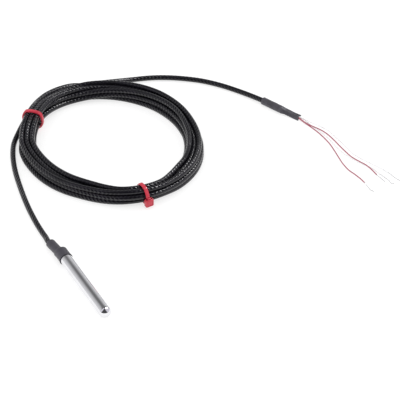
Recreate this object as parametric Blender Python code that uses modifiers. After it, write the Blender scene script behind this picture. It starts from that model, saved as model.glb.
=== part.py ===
"""Platinum resistance temperature probe with a coiled four-wire lead.

The probe head lies along Y with its closed tip towards -Y. The cable leaves the head's shrink
sleeve, runs to a tied coil, leaves it again and ends in a second shrink sleeve, from which four
stripped wires fan out. Everything lies on the plane Z = 0. Lengths are in metres.

Pieces of the head are modelled along the head's own axis, Z from the tip, with -Y facing up,
and hang on one empty that lays this axis down.
"""

import math

import bmesh
import bpy
from mathutils import Matrix, Vector

MM = 0.001

# Gaps between solids: one for pieces that touch on the real probe, one for nested round pieces
SEAT_GAP = 0.3 * MM
LINING_GAP = 0.1 * MM

# Sheath: a stainless tube with a drawn, domed end
SHEATH_LENGTH = 50.0 * MM
SHEATH_DIAMETER = 6.0 * MM
SHEATH_WALL = 0.5 * MM
SHEATH_END_WALL = 0.8 * MM
SHEATH_LIP = 0.15 * MM

# Thin-film element on its ceramic chip, in the tip
CHIP_LENGTH = 4.0 * MM
CHIP_WIDTH = 2.0 * MM
CHIP_THICKNESS = 0.65 * MM
CHIP_EDGE = 0.06 * MM
CHIP_TO_DOME = 1.2 * MM
GLAZE_LENGTH = 1.5 * MM
GLAZE_HEIGHT = 0.5 * MM
ELEMENT_WIRE_DIAMETER = 0.25 * MM
ELEMENT_WIRE_LENGTH = 9.0 * MM
ELEMENT_WIRE_PITCH = 1.0 * MM

# Ceramic cement that beds the chip in the tip
CEMENT_LENGTH = 8.0 * MM
CEMENT_POCKET_DIAMETER = 3.0 * MM

# Crimps between the element's wires and the cable's, each in an insulating tube
CRIMP_LENGTH = 4.0 * MM
CRIMP_DIAMETER = 1.25 * MM
CRIMP_PITCH = 2.15 * MM
CRIMP_TUBE_OVERHANG = 1.5 * MM
CRIMP_TUBE_WALL = 0.25 * MM
WIRE_PAIR_PITCH = 0.7 * MM

# Cable: four insulated wires in a braided screen and a thin jacket
CABLE_DIAMETER = 2.5 * MM
JACKET_WALL = 0.3 * MM
SCREEN_WALL = 0.08 * MM
WIRE_DIAMETER = 0.6 * MM
WIRE_SQUARE_PITCH = 0.66 * MM
CONDUCTOR_DIAMETER = 0.34 * MM
CABLE_IN_SHEATH = 8.0 * MM

# Epoxy that closes the sheath round the cable
SEAL_LENGTH = 4.5 * MM
SEAL_DEPTH = 0.6 * MM
SEAL_DISH = 0.4 * MM

# Shrink sleeve over the joint of sheath and cable
SLEEVE_OVER_SHEATH = 5.9 * MM
SLEEVE_SHOULDER = 1.3 * MM
SLEEVE_NARROW_LENGTH = 8.3 * MM
SLEEVE_WALL = 0.22 * MM
SLEEVE_GAP = 0.06 * MM
SLEEVE_NARROW_WALL = 0.75 * MM
SLEEVE_MOUTH_FLARE = 0.17 * MM
SLEEVE_DROOP = 1.0 * MM
SLEEVE_BEND = 1.4 * MM

# Coil: the turns as one bundle, an oval ring seen from above
COIL_ACROSS = 61.6 * MM
COIL_BEHIND = 58.8 * MM
COIL_RADIUS = 44.2 * MM
COIL_OVAL = 2.9 * MM
COIL_OVAL_TURN = math.radians(104.0)
BUNDLE_WIDTH = 10.0 * MM
BUNDLE_WIDTH_AT_TIES = 8.0 * MM
BUNDLE_HEIGHT = 7.6 * MM
BUNDLE_CORNER = 3.0 * MM
COIL_STATIONS = 72
TAIL_RUN_LEAVES = math.radians(80.0)
TAIL_RUN_START_HEIGHT = 4.4 * MM

# Ties round the bundle
TIE_WIDTH = 1.9 * MM
TIE_THICKNESS = 1.0 * MM
TIE_HEAD_LENGTH = 4.3 * MM
TIE_HEAD_WIDTH = 4.6 * MM
TIE_HEAD_HEIGHT = 2.7 * MM
TIE_HEAD_ABOVE_FLOOR = 0.6 * MM
TIE_HEAD_EDGE = 0.6 * MM
TIE_HEAD_RECESS = 0.6 * MM
TIE_1_ANGLE = math.radians(132.9)
TIE_1_SKEW = math.radians(-6.5)
TIE_2_ANGLE = math.radians(-96.6)
TIE_2_SKEW = math.radians(8.0)
TIE_REACH = math.radians(34.0)
TIE_FLAT = math.radians(6.0)
TIE_1_PULL = -2.55 * MM
TIE_2_PULL = 3.0 * MM

# Shrink sleeve on the cable's far end, round at the cable and pinched flat at the wires
TAIL_SLEEVE_LENGTH = 23.5 * MM
TAIL_SLEEVE_ROUND = 12.4 * MM
TAIL_SLEEVE_TAPER = 3.0 * MM
TAIL_SLEEVE_WALL = 0.7 * MM
TAIL_SLEEVE_THIN_WALL = 0.2 * MM
TAIL_SLEEVE_FLAT_WIDTH = 3.7 * MM
TAIL_SLEEVE_FIN = 0.9 * MM
TAIL_SLEEVE_TILT = math.radians(25.0)
CABLE_IN_TAIL_SLEEVE = 10.0 * MM

# Routes of the cable's free stretches, chosen by hand, in millimetres: across and behind the
# place where the cable leaves the head's sleeve, and height above the floor
PROBE_RUN = (
    (0.10, 5.4, 1.95),
    (0.70, 10.4, 1.40),
    (1.55, 18.8, 1.25),
    (3.30, 33.4, 1.25),
    (6.90, 53.1, 1.25),
    (10.3, 65.4, 1.35),
    (14.7, 76.8, 2.00),
    (16.9, 81.0, 2.40),
    (19.4, 84.1, 2.70),
    (22.6, 87.4, 3.10),
    (25.3, 90.3, 3.50),
)
TAIL_RUN = (
    (86.3, 106.7, 3.00),
    (97.3, 104.4, 1.80),
    (107.7, 100.9, 1.25),
    (115.0, 97.1, 1.25),
    (121.7, 92.4, 1.25),
    (130.3, 85.0, 1.25),
    (137.7, 75.9, 1.25),
    (144.2, 65.4, 1.35),
    (147.6, 58.2, 1.80),
)
# Where the cable enters the tail sleeve, in the same way, and the sleeve's heading from +X
TAIL_SLEEVE_START = (149.9, 51.9)
TAIL_SLEEVE_HEADING = math.radians(-69.0)
TAIL_SLEEVE_TURN = math.radians(7.5)

# Routes of the four wires beyond the tail sleeve, in millimetres: across and behind the middle
# of the sleeve's front, and height. The second list of each holds the stripped end.
WIRE_ROUTES = {
    "red_1": (
        (
            (0.51, -1.94, 0.56),
            (1.04, -4.95, 0.38),
            (1.60, -8.47, 0.30),
            (2.30, -13.6, 0.30),
            (2.70, -19.5, 0.30),
            (2.50, -26.3, 0.30),
            (1.50, -32.7, 0.30),
            (0.40, -38.5, 0.30),
            (-0.50, -43.9, 0.30),
            (-0.70, -49.7, 0.30),
            (0.10, -54.1, 0.30),
            (0.60, -57.8, 0.30),
            (0.80, -62.2, 0.30),
        ),
        ((0.70, -64.1, 0.20), (0.30, -68.5, 0.17), (1.20, -70.3, 0.17)),
    ),
    "red_2": (
        (
            (0.30, -2.02, 1.22),
            (1.41, -4.81, 1.15),
            (2.86, -8.00, 0.92),
            (5.20, -13.9, 0.45),
            (6.10, -18.1, 0.30),
            (6.20, -24.4, 0.30),
            (6.10, -31.1, 0.30),
            (6.20, -36.5, 0.30),
            (6.50, -41.0, 0.30),
            (7.90, -46.5, 0.70),
            (8.90, -50.5, 1.05),
            (9.60, -54.6, 0.65),
            (9.70, -59.7, 0.30),
        ),
        ((9.90, -61.5, 0.20), (10.1, -63.8, 0.17), (10.4, -66.4, 0.17)),
    ),
    "white_1": (
        (
            (1.02, -1.75, 1.46),
            (2.58, -4.37, 1.05),
            (4.27, -7.48, 0.60),
            (6.00, -10.6, 0.35),
            (7.90, -15.2, 0.30),
            (8.30, -20.5, 0.30),
            (8.50, -27.0, 0.30),
            (8.50, -33.5, 0.30),
            (8.80, -39.7, 0.30),
            (10.6, -46.0, 0.30),
            (13.0, -52.6, 0.30),
            (15.0, -57.9, 0.30),
        ),
        ((15.5, -60.0, 0.20), (16.2, -62.4, 0.17), (16.6, -66.3, 0.17), (17.5, -69.3, 0.17)),
    ),
    "white_2": (
        (
            (1.12, -1.72, 0.80),
            (1.79, -4.67, 0.36),
            (2.30, -8.21, 0.30),
            (3.05, -11.7, 0.30),
            (4.10, -17.3, 0.30),
            (4.50, -23.5, 0.30),
            (4.10, -29.0, 0.30),
            (4.40, -35.0, 0.30),
            (5.30, -41.2, 0.30),
            (7.00, -46.8, 0.30),
            (8.90, -50.5, 0.30),
            (10.7, -54.6, 0.30),
            (11.5, -60.2, 0.30),
        ),
        ((11.9, -62.0, 0.20), (12.6, -66.8, 0.17), (12.5, -69.2, 0.17), (13.6, -69.6, 0.17)),
    ),
}

# Facets
ROUND_SIDES = 32
SMALL_SIDES = 16
DOME_STEPS = 7
CORNER_STEPS = 3
SLEEVE_SIDES = 24

SHEATH_RADIUS = SHEATH_DIAMETER / 2
SHEATH_BORE_RADIUS = SHEATH_RADIUS - SHEATH_WALL
CABLE_RADIUS = CABLE_DIAMETER / 2
JACKET_BORE_RADIUS = CABLE_RADIUS - JACKET_WALL
SCREEN_RADIUS = JACKET_BORE_RADIUS - LINING_GAP / 2
SLEEVE_MOUTH = SHEATH_LENGTH - SLEEVE_OVER_SHEATH
SLEEVE_BORE_RADIUS = SHEATH_RADIUS + SLEEVE_GAP
SLEEVE_RADIUS = SLEEVE_BORE_RADIUS + SLEEVE_WALL
SLEEVE_NARROW_START = SHEATH_LENGTH + SLEEVE_SHOULDER
SLEEVE_END = SLEEVE_NARROW_START + SLEEVE_NARROW_LENGTH
CABLE_START = SHEATH_LENGTH - CABLE_IN_SHEATH
CHIP_START = SHEATH_END_WALL + CHIP_TO_DOME
CHIP_END = CHIP_START + CHIP_LENGTH
ELEMENT_WIRE_END = CHIP_END + LINING_GAP + ELEMENT_WIRE_LENGTH
CRIMP_START = ELEMENT_WIRE_END + LINING_GAP
CRIMP_END = CRIMP_START + CRIMP_LENGTH
WIRE_RADIUS = WIRE_DIAMETER / 2
TIE_1_LIFT = TIE_HEAD_HEIGHT + SEAT_GAP
TIE_2_LIFT = TIE_THICKNESS + SEAT_GAP

# Colour, roughness and metallic value of each material
MATERIALS = {
    "stainless_steel": ((0.72, 0.72, 0.74), 0.12, 1.0),
    "sleeve_grey": ((0.085, 0.083, 0.095), 0.55, 0.0),
    "tail_sleeve_grey": ((0.10, 0.10, 0.115), 0.55, 0.0),
    "jacket_black": ((0.022, 0.022, 0.025), 0.3, 0.0),
    "tie_red": ((0.72, 0.06, 0.09), 0.35, 0.0),
    "red_insulation": ((0.70, 0.03, 0.08), 0.4, 0.0),
    "white_insulation": ((0.90, 0.90, 0.90), 0.4, 0.0),
    "tinned_copper": ((0.62, 0.62, 0.64), 0.3, 1.0),
    "screen_braid": ((0.60, 0.60, 0.62), 0.35, 1.0),
    "alumina": ((0.88, 0.87, 0.84), 0.6, 0.0),
    "glaze": ((0.55, 0.62, 0.70), 0.15, 0.0),
    "element_wire": ((0.65, 0.63, 0.60), 0.25, 1.0),
    "cement": ((0.78, 0.76, 0.72), 0.85, 0.0),
    "crimp_copper": ((0.62, 0.60, 0.58), 0.3, 1.0),
    "clear_tube": ((0.80, 0.78, 0.70), 0.3, 0.0),
    "epoxy": ((0.06, 0.06, 0.07), 0.35, 0.0),
}


def clear_scene():
    for obj in list(bpy.data.objects):
        bpy.data.objects.remove(obj, do_unlink=True)


def new_collection(name):
    collection = bpy.data.collections.new(name)
    bpy.context.scene.collection.children.link(collection)
    return collection


def material(name, slot):
    """A new material called name, with the values that MATERIALS holds for slot."""
    color, roughness, metallic = MATERIALS[slot]
    made = bpy.data.materials.new(name)
    made.use_nodes = True
    shader = made.node_tree.nodes["Principled BSDF"]
    shader.inputs["Base Color"].default_value = (*color, 1.0)
    shader.inputs["Roughness"].default_value = roughness
    shader.inputs["Metallic"].default_value = metallic
    made.diffuse_color = (*color, 1.0)
    return made


def add_piece(name, data, slot, collection, parent=None):
    piece = bpy.data.objects.new(name, data)
    collection.objects.link(piece)
    piece.parent = parent
    data.materials.clear()
    data.materials.append(material(name + "_material", slot))
    return piece


def smooth_shade(mesh):
    mesh.shade_smooth()
    mesh.set_sharp_from_angle(angle=math.radians(35.0))


def mesh_from(curve_object):
    """The evaluated mesh of a curve object, with its caps welded on. The curve is removed."""
    graph = bpy.context.evaluated_depsgraph_get()
    mesh = bpy.data.meshes.new_from_object(curve_object.evaluated_get(graph))
    shape = bmesh.new()
    shape.from_mesh(mesh)
    bmesh.ops.remove_doubles(shape, verts=shape.verts, dist=0.001 * MM)
    shape.to_mesh(mesh)
    shape.free()
    bpy.data.objects.remove(curve_object, do_unlink=True)
    return mesh


def unite(piece, other):
    joint = piece.modifiers.new("join_" + other.name, "BOOLEAN")
    joint.operation = "UNION"
    joint.object = other


def cut(piece, cutter):
    groove = piece.modifiers.new("cut_" + cutter.name, "BOOLEAN")
    groove.operation = "DIFFERENCE"
    groove.object = cutter


def hide_helper(helper):
    helper.hide_render = True
    helper.display_type = "WIRE"


# Turned pieces


def arc(centre_x, centre_z, radius, start, end, steps):
    """Points of an arc in the profile's plane, from angle start to end, both included."""
    points = []
    for step in range(steps + 1):
        angle = start + (end - start) * step / steps
        points.append((centre_x + radius * math.cos(angle), centre_z + radius * math.sin(angle)))
    return points


def turned(name, profile, slot, collection, parent, closed=False, sides=ROUND_SIDES):
    """A profile of (radius, z) turned round Z. Its outer side runs from the top down."""
    shape = bmesh.new()
    corners = [shape.verts.new((max(radius, 0.0), 0.0, z)) for radius, z in profile]
    for first, second in zip(corners, corners[1:]):
        shape.edges.new((first, second))
    if closed:
        shape.edges.new((corners[-1], corners[0]))
    mesh = bpy.data.meshes.new(name)
    shape.to_mesh(mesh)
    shape.free()
    piece = add_piece(name, mesh, slot, collection, parent)
    screw = piece.modifiers.new("turn", "SCREW")
    screw.axis = "Z"
    screw.angle = 2 * math.pi
    screw.steps = sides
    screw.render_steps = sides
    screw.use_merge_vertices = True
    screw.merge_threshold = 0.001 * MM
    screw.use_smooth_shade = True
    return piece


def ring(name, outer, inner, bottom, top, slot, collection, parent, sides=ROUND_SIDES):
    profile = [(inner, bottom), (inner, top), (outer, top), (outer, bottom)]
    return turned(name, profile, slot, collection, parent, closed=True, sides=sides)


# Tubes along a route


def smooth_route(points, spacing, lowest):
    """Evenly spaced points on a smooth curve through the given ones, none under lowest."""
    knots = [0.0]
    for first, second in zip(points, points[1:]):
        knots.append(knots[-1] + math.sqrt((second - first).length))
    count = len(points)
    slopes = []
    for index in range(count):
        before = max(index - 1, 0)
        after = min(index + 1, count - 1)
        slopes.append((points[after] - points[before]) / (knots[after] - knots[before]))
    fine = []
    for index in range(count - 1):
        width = knots[index + 1] - knots[index]
        for step in range(24):
            t = step / 24
            fine.append(
                (2 * t**3 - 3 * t**2 + 1) * points[index]
                + (t**3 - 2 * t**2 + t) * width * slopes[index]
                + (3 * t**2 - 2 * t**3) * points[index + 1]
                + (t**3 - t**2) * width * slopes[index + 1]
            )
    fine.append(points[-1])
    along = [0.0]
    for first, second in zip(fine, fine[1:]):
        along.append(along[-1] + (second - first).length)
    pieces = max(2, round(along[-1] / spacing))
    even = []
    at = 0
    for step in range(pieces + 1):
        wanted = along[-1] * step / pieces
        while at < len(fine) - 2 and along[at + 1] < wanted:
            at += 1
        share = (wanted - along[at]) / (along[at + 1] - along[at])
        point = fine[at].lerp(fine[at + 1], min(max(share, 0.0), 1.0))
        point.z = max(point.z, lowest)
        even.append(point)
    return even


def eased(share):
    """A share from 0 to 1, level at both ends."""
    share = min(max(share, 0.0), 1.0)
    return share * share * (3 - 2 * share)


def crossing(start, end, steps):
    """Points from start to end along Z that leave and arrive straight."""
    points = []
    for step in range(steps + 1):
        share = step / steps
        across = start.lerp(end, eased(share))
        points.append(Vector((across.x, across.y, start.z + (end.z - start.z) * share)))
    return points


def tube_curve(name, points, diameter):
    """A round curve through the points as they stand, with filled ends."""
    curve = bpy.data.curves.new(name, "CURVE")
    curve.dimensions = "3D"
    curve.bevel_depth = diameter / 2
    curve.bevel_resolution = 2
    curve.use_fill_caps = True
    spline = curve.splines.new("POLY")
    spline.points.add(len(points) - 1)
    for place, point in zip(spline.points, points):
        place.co = (*point, 1.0)
    return curve


def tube(name, points, diameter, slot, collection, parent=None):
    return add_piece(name, tube_curve(name, points, diameter), slot, collection, parent)


# Shrink sleeves: lofts between unlike sections, open at both ends


def circle(radius, sides):
    angles = [2 * math.pi * step / sides for step in range(sides)]
    return [(radius * math.cos(angle), radius * math.sin(angle)) for angle in angles]


def pinched_outline(half_width, half_core, half_fin, sides):
    """A round core between two flat fins, as walls pressed together leave it."""
    outline = []
    for x, y in circle(1.0, sides):
        swell = math.exp(-((x * half_width / half_core) ** 2))
        outline.append((x * half_width, y * (half_fin + (half_core - half_fin) * swell)))
    return outline


def square_outline(half_size, sides):
    """A square with full round corners."""
    outline = []
    for x, y in circle(1.0, sides):
        reach = (x**4 + y**4) ** 0.25
        outline.append((half_size * x / reach, half_size * y / reach))
    return outline


def blend(first, second, share):
    pairs = zip(first, second)
    return [(a[0] + (b[0] - a[0]) * share, a[1] + (b[1] - a[1]) * share) for a, b in pairs]


def lofted_sleeve(name, stations, slot, collection, parent=None):
    """A hollow sleeve through stations of (centre, across, up, outer outline, inner outline)."""
    shape = bmesh.new()
    rings = []
    for centre, across, up, outer, inner in stations:
        outside = [shape.verts.new(centre + across * x + up * y) for x, y in outer]
        inside = [shape.verts.new(centre + across * x + up * y) for x, y in inner]
        rings.append((outside, inside))
    sides = len(rings[0][0])
    for (out_a, in_a), (out_b, in_b) in zip(rings, rings[1:]):
        for side in range(sides):
            after = (side + 1) % sides
            shape.faces.new((out_a[side], out_a[after], out_b[after], out_b[side]))
            shape.faces.new((in_a[after], in_a[side], in_b[side], in_b[after]))
    for outside, inside in (rings[0], rings[-1]):
        for side in range(sides):
            after = (side + 1) % sides
            shape.faces.new((outside[side], outside[after], inside[after], inside[side]))
    bmesh.ops.recalc_face_normals(shape, faces=shape.faces)
    mesh = bpy.data.meshes.new(name)
    shape.to_mesh(mesh)
    shape.free()
    smooth_shade(mesh)
    return add_piece(name, mesh, slot, collection, parent)


# The probe head


def make_sheath(collection, axis):
    inner_dome = SHEATH_BORE_RADIUS
    dome_centre = SHEATH_RADIUS
    inner_centre = SHEATH_END_WALL + inner_dome
    profile = arc(0.0, inner_centre, inner_dome, -math.pi / 2, 0.0, DOME_STEPS)
    profile += [
        (SHEATH_BORE_RADIUS, SHEATH_LENGTH),
        (SHEATH_RADIUS - SHEATH_LIP, SHEATH_LENGTH),
        (SHEATH_RADIUS, SHEATH_LENGTH - SHEATH_LIP),
    ]
    profile += arc(0.0, dome_centre, SHEATH_RADIUS, 0.0, -math.pi / 2, DOME_STEPS)
    return turned("sheath", profile, "stainless_steel", collection, axis)


def make_cement(collection, axis):
    """Cement that fills the dome and beds the chip in a pocket open to the rear."""
    radius = SHEATH_BORE_RADIUS - LINING_GAP
    centre = SHEATH_END_WALL + SHEATH_BORE_RADIUS
    end = SHEATH_END_WALL + CEMENT_LENGTH
    floor = CHIP_START - SEAT_GAP
    pocket = CEMENT_POCKET_DIAMETER / 2
    profile = [(0.0, floor), (pocket, floor), (pocket, end), (radius, end)]
    profile += arc(0.0, centre, radius, 0.0, -math.pi / 2, DOME_STEPS)
    return turned("cement_bed", profile, "cement", collection, axis)


def make_element(collection, axis):
    """The ceramic chip, its glaze drop and its two wires."""
    shape = bmesh.new()
    bmesh.ops.create_cube(shape, size=1.0)
    bmesh.ops.scale(shape, vec=(CHIP_WIDTH, CHIP_THICKNESS, CHIP_LENGTH), verts=shape.verts)
    mesh = bpy.data.meshes.new("element_chip")
    shape.to_mesh(mesh)
    shape.free()
    chip = add_piece("element_chip", mesh, "alumina", collection, axis)
    chip.location = (0.0, 0.0, CHIP_START + CHIP_LENGTH / 2)
    edge = chip.modifiers.new("edge", "BEVEL")
    edge.width = CHIP_EDGE
    edge.segments = 1

    shape = bmesh.new()
    bmesh.ops.create_uvsphere(shape, u_segments=SMALL_SIDES, v_segments=8, radius=0.5)
    below = [vert for vert in shape.verts if vert.co.y > 0]
    for vert in below:
        vert.co.y = 0.0
    bmesh.ops.remove_doubles(shape, verts=shape.verts, dist=0.001)
    flat = [edge for edge in shape.edges if all(abs(vert.co.y) < 1e-6 for vert in edge.verts)]
    bmesh.ops.dissolve_edges(shape, edges=[e for e in flat if not e.is_boundary], use_verts=True)
    size = (CHIP_WIDTH * 0.8, 2 * GLAZE_HEIGHT, GLAZE_LENGTH)
    bmesh.ops.scale(shape, vec=size, verts=shape.verts)
    mesh = bpy.data.meshes.new("element_glaze")
    shape.to_mesh(mesh)
    shape.free()
    smooth_shade(mesh)
    glaze = add_piece("element_glaze", mesh, "glaze", collection, axis)
    on_chip = -CHIP_THICKNESS / 2 - LINING_GAP
    glaze.location = (0.0, on_chip, CHIP_END - GLAZE_LENGTH / 2 - LINING_GAP)

    for number, side in ((1, -1), (2, 1)):
        start = Vector((side * ELEMENT_WIRE_PITCH / 2, 0.0, CHIP_END + LINING_GAP))
        end = Vector((side * CRIMP_PITCH / 2, 0.0, ELEMENT_WIRE_END))
        route = crossing(start, end, 8)
        name = f"element_wire_{number}"
        tube(name, route, ELEMENT_WIRE_DIAMETER, "element_wire", collection, axis)


def make_crimps(collection, axis):
    """Two crimps side by side, each under an insulating tube."""
    for number, side in ((1, -1), (2, 1)):
        across = side * CRIMP_PITCH / 2
        radius = CRIMP_DIAMETER / 2
        waist = radius * 0.82
        third = CRIMP_LENGTH / 3
        profile = [
            (0.0, CRIMP_END),
            (radius, CRIMP_END),
            (radius, CRIMP_END - third * 0.8),
            (waist, CRIMP_END - third),
            (waist, CRIMP_START + third),
            (radius, CRIMP_START + third * 0.8),
            (radius, CRIMP_START),
            (0.0, CRIMP_START),
        ]
        name = f"crimp_{number}"
        crimp = turned(name, profile, "crimp_copper", collection, axis, sides=SMALL_SIDES)
        crimp.location.x = across
        bore = radius + LINING_GAP
        sleeve = ring(
            f"crimp_tube_{number}",
            bore + CRIMP_TUBE_WALL,
            bore,
            CRIMP_START - CRIMP_TUBE_OVERHANG,
            CRIMP_END + CRIMP_TUBE_OVERHANG,
            "clear_tube",
            collection,
            axis,
            sides=SMALL_SIDES,
        )
        sleeve.location.x = across


def sleeve_bend(z):
    """Sideways and downward offset of the head's axis where its shrink sleeve bends."""
    share = max(0.0, (z - SHEATH_LENGTH) / (SLEEVE_END - SHEATH_LENGTH))
    bent = share * share / (share + 0.12) * 1.12
    return Vector((-SLEEVE_BEND * bent, SLEEVE_DROOP * bent, z))


def sleeve_frame(z):
    """Centre, across and up of the head's axis at z, in the head's own frame."""
    step = 0.1 * MM
    along = (sleeve_bend(z + step) - sleeve_bend(z - step)).normalized()
    across = along.cross(Vector((0.0, -1.0, 0.0))).normalized()
    return sleeve_bend(z), across, across.cross(along)


def make_probe_sleeve(collection, axis):
    """Heat-shrink: wide and thin over the sheath, narrow and thick over the cable."""
    bore = SLEEVE_BORE_RADIUS
    narrow_bore = CABLE_RADIUS + LINING_GAP
    narrow = narrow_bore + SLEEVE_NARROW_WALL
    shoulder = SLEEVE_SHOULDER
    profile = [
        (SLEEVE_MOUTH, bore + SLEEVE_WALL + SLEEVE_MOUTH_FLARE, bore + SLEEVE_MOUTH_FLARE),
        (SLEEVE_MOUTH + 1.4 * MM, bore + SLEEVE_WALL, bore),
        (SHEATH_LENGTH, bore + SLEEVE_WALL, bore),
        (SHEATH_LENGTH + 0.45 * shoulder, bore + 0.8 * SLEEVE_WALL, bore - 0.3 * SLEEVE_WALL),
        (SHEATH_LENGTH + 0.70 * shoulder, (bore + narrow) / 2 + SLEEVE_WALL, (bore + narrow) / 2),
        (SHEATH_LENGTH + 0.85 * shoulder, narrow + 0.35 * (bore - narrow), narrow),
        (SLEEVE_NARROW_START, narrow + 0.06 * (bore - narrow), narrow_bore + SLEEVE_WALL),
        (SLEEVE_NARROW_START + 0.8 * MM, narrow, narrow_bore),
        (SLEEVE_NARROW_START + 0.35 * SLEEVE_NARROW_LENGTH, narrow, narrow_bore),
        (SLEEVE_NARROW_START + 0.70 * SLEEVE_NARROW_LENGTH, narrow, narrow_bore),
        (SLEEVE_END, narrow, narrow_bore),
    ]
    stations = []
    for z, outer, inner in profile:
        centre, across, up = sleeve_frame(z)
        stations.append(
            (centre, across, up, circle(outer, ROUND_SIDES), circle(inner, ROUND_SIDES))
        )
    return lofted_sleeve("probe_sleeve", stations, "sleeve_grey", collection, axis)


def make_cable_end(collection, axis):
    """The end of the cable that the head holds: jacket, screen and four wires to the crimps."""
    bend_steps = 5
    heights = [CABLE_START, SHEATH_LENGTH, SLEEVE_NARROW_START]
    for step in range(1, bend_steps + 1):
        heights.append(SLEEVE_NARROW_START + SLEEVE_NARROW_LENGTH * step / bend_steps)
    for name, radius, bore, slot in (
        ("cable_jacket_end", CABLE_RADIUS, JACKET_BORE_RADIUS, "jacket_black"),
        ("cable_screen_end", SCREEN_RADIUS, SCREEN_RADIUS - SCREEN_WALL, "screen_braid"),
    ):
        stations = []
        for z in heights:
            centre, across, up = sleeve_frame(z)
            outline = circle(radius, SLEEVE_SIDES)
            stations.append((centre, across, up, outline, circle(bore, SLEEVE_SIDES)))
        lofted_sleeve(name, stations, slot, collection, axis)

    square = WIRE_SQUARE_PITCH / 2
    for name, side, row, slot in (
        ("inner_wire_red_1", -1, -1, "red_insulation"),
        ("inner_wire_red_2", -1, 1, "red_insulation"),
        ("inner_wire_white_1", 1, -1, "white_insulation"),
        ("inner_wire_white_2", 1, 1, "white_insulation"),
    ):
        crimp_x = side * CRIMP_PITCH / 2
        crimp_y = row * WIRE_PAIR_PITCH / 2
        tube_end = CRIMP_END + CRIMP_TUBE_OVERHANG + LINING_GAP
        at_cable = Vector((side * square, row * square, CABLE_START - LINING_GAP))
        route = [Vector((crimp_x, crimp_y, CRIMP_END + LINING_GAP))]
        route += crossing(Vector((crimp_x, crimp_y, tube_end)), at_cable, 8)
        for z in heights[1:]:
            centre, across, up = sleeve_frame(z)
            route.append(centre + across * side * square - up * row * square)
        tube(name, route, WIRE_DIAMETER, slot, collection, axis)


def make_seal(collection, axis):
    """Epoxy between sheath and cable, dished where it set."""
    outer = SHEATH_BORE_RADIUS - LINING_GAP
    inner = CABLE_RADIUS + LINING_GAP
    top = SHEATH_LENGTH - SEAL_DEPTH
    bottom = top - SEAL_LENGTH
    middle = (outer + inner) / 2
    profile = [
        (inner, bottom),
        (inner, top),
        (middle, top - SEAL_DISH),
        (outer, top),
        (outer, bottom),
    ]
    return turned("epoxy_seal", profile, "epoxy", collection, axis, closed=True)


def box_of(objects):
    """Lowest and highest corner of the objects as they are evaluated, in world space."""
    graph = bpy.context.evaluated_depsgraph_get()
    corners = []
    for obj in objects:
        evaluated = obj.evaluated_get(graph)
        mesh = evaluated.to_mesh()
        corners += [evaluated.matrix_world @ vert.co for vert in mesh.vertices]
        evaluated.to_mesh_clear()
    low = Vector([min(corner[k] for corner in corners) for k in range(3)])
    high = Vector([max(corner[k] for corner in corners) for k in range(3)])
    return low, high


def make_head(collection):
    """The head, resting on its tip and on its sleeve's mouth, over the origin."""
    axis = bpy.data.objects.new("head_axis", None)
    axis.empty_display_size = 10.0 * MM
    collection.objects.link(axis)
    rise = (SLEEVE_RADIUS + SLEEVE_MOUTH_FLARE - SHEATH_RADIUS) / (SLEEVE_MOUTH - SHEATH_RADIUS)
    axis.rotation_euler = (-math.pi / 2 + math.asin(rise), 0.0, 0.0)
    sheath = make_sheath(collection, axis)
    make_cement(collection, axis)
    make_element(collection, axis)
    make_crimps(collection, axis)
    make_cable_end(collection, axis)
    make_seal(collection, axis)
    sleeve = make_probe_sleeve(collection, axis)
    bpy.context.view_layer.update()
    low, high = box_of([sheath, sleeve])
    axis.location = (-(low.x + high.x) / 2, -(low.y + high.y) / 2, -low.z)
    bpy.context.view_layer.update()
    return axis


# The coil


def nearness(angle, tie_angle):
    """How much of a tie's effect the coil shows at an angle: 1 under the tie, 0 well away."""
    away = abs((angle - tie_angle + math.pi) % (2 * math.pi) - math.pi)
    return eased((TIE_REACH - away) / (TIE_REACH - TIE_FLAT))


def coil_radius(angle):
    """Radius of the bundle's middle line: an oval that the ties pull in or out."""
    radius = COIL_RADIUS + COIL_OVAL * math.cos(2 * (angle - COIL_OVAL_TURN))
    radius += TIE_1_PULL * nearness(angle, TIE_1_ANGLE)
    return radius + TIE_2_PULL * nearness(angle, TIE_2_ANGLE)


def coil_point(exit_point, angle, outward=0.0, height=0.0):
    """A place on or beside the bundle's middle line, at an angle round the coil."""
    radius = coil_radius(angle) + outward
    return Vector(
        (
            exit_point.x + COIL_ACROSS + radius * math.cos(angle),
            exit_point.y + COIL_BEHIND + radius * math.sin(angle),
            height,
        )
    )


def bundle_width(angle):
    """Width of the bundle, which the ties squeeze."""
    squeeze = nearness(angle, TIE_1_ANGLE) + nearness(angle, TIE_2_ANGLE)
    return BUNDLE_WIDTH + (BUNDLE_WIDTH_AT_TIES - BUNDLE_WIDTH) * squeeze


def lift_at(angle):
    """Height of the bundle's underside, which the ties hold off the floor."""
    first = TIE_1_LIFT * nearness(angle, TIE_1_ANGLE)
    second = TIE_2_LIFT * nearness(angle, TIE_2_ANGLE)
    return max(first, second)


def rounded_outline(width, height, corner):
    """A rectangle with round corners, anticlockwise, as points of a plane outline."""
    outline = []
    for turn, (side_x, side_y) in enumerate(((1, 1), (-1, 1), (-1, -1), (1, -1))):
        centre_x = side_x * (width / 2 - corner)
        centre_y = side_y * (height / 2 - corner)
        start = turn * math.pi / 2
        outline += arc(centre_x, centre_y, corner, start, start + math.pi / 2, CORNER_STEPS)
    return outline


def flat_curve(name, outlines):
    """A filled plane curve. Each outline is a closed POLY spline."""
    curve = bpy.data.curves.new(name, "CURVE")
    curve.dimensions = "2D"
    for outline in outlines:
        spline = curve.splines.new("POLY")
        spline.points.add(len(outline) - 1)
        for place, (x, y) in zip(spline.points, outline):
            place.co = (x, y, 0.0, 1.0)
        spline.use_cyclic_u = True
    return curve


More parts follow.
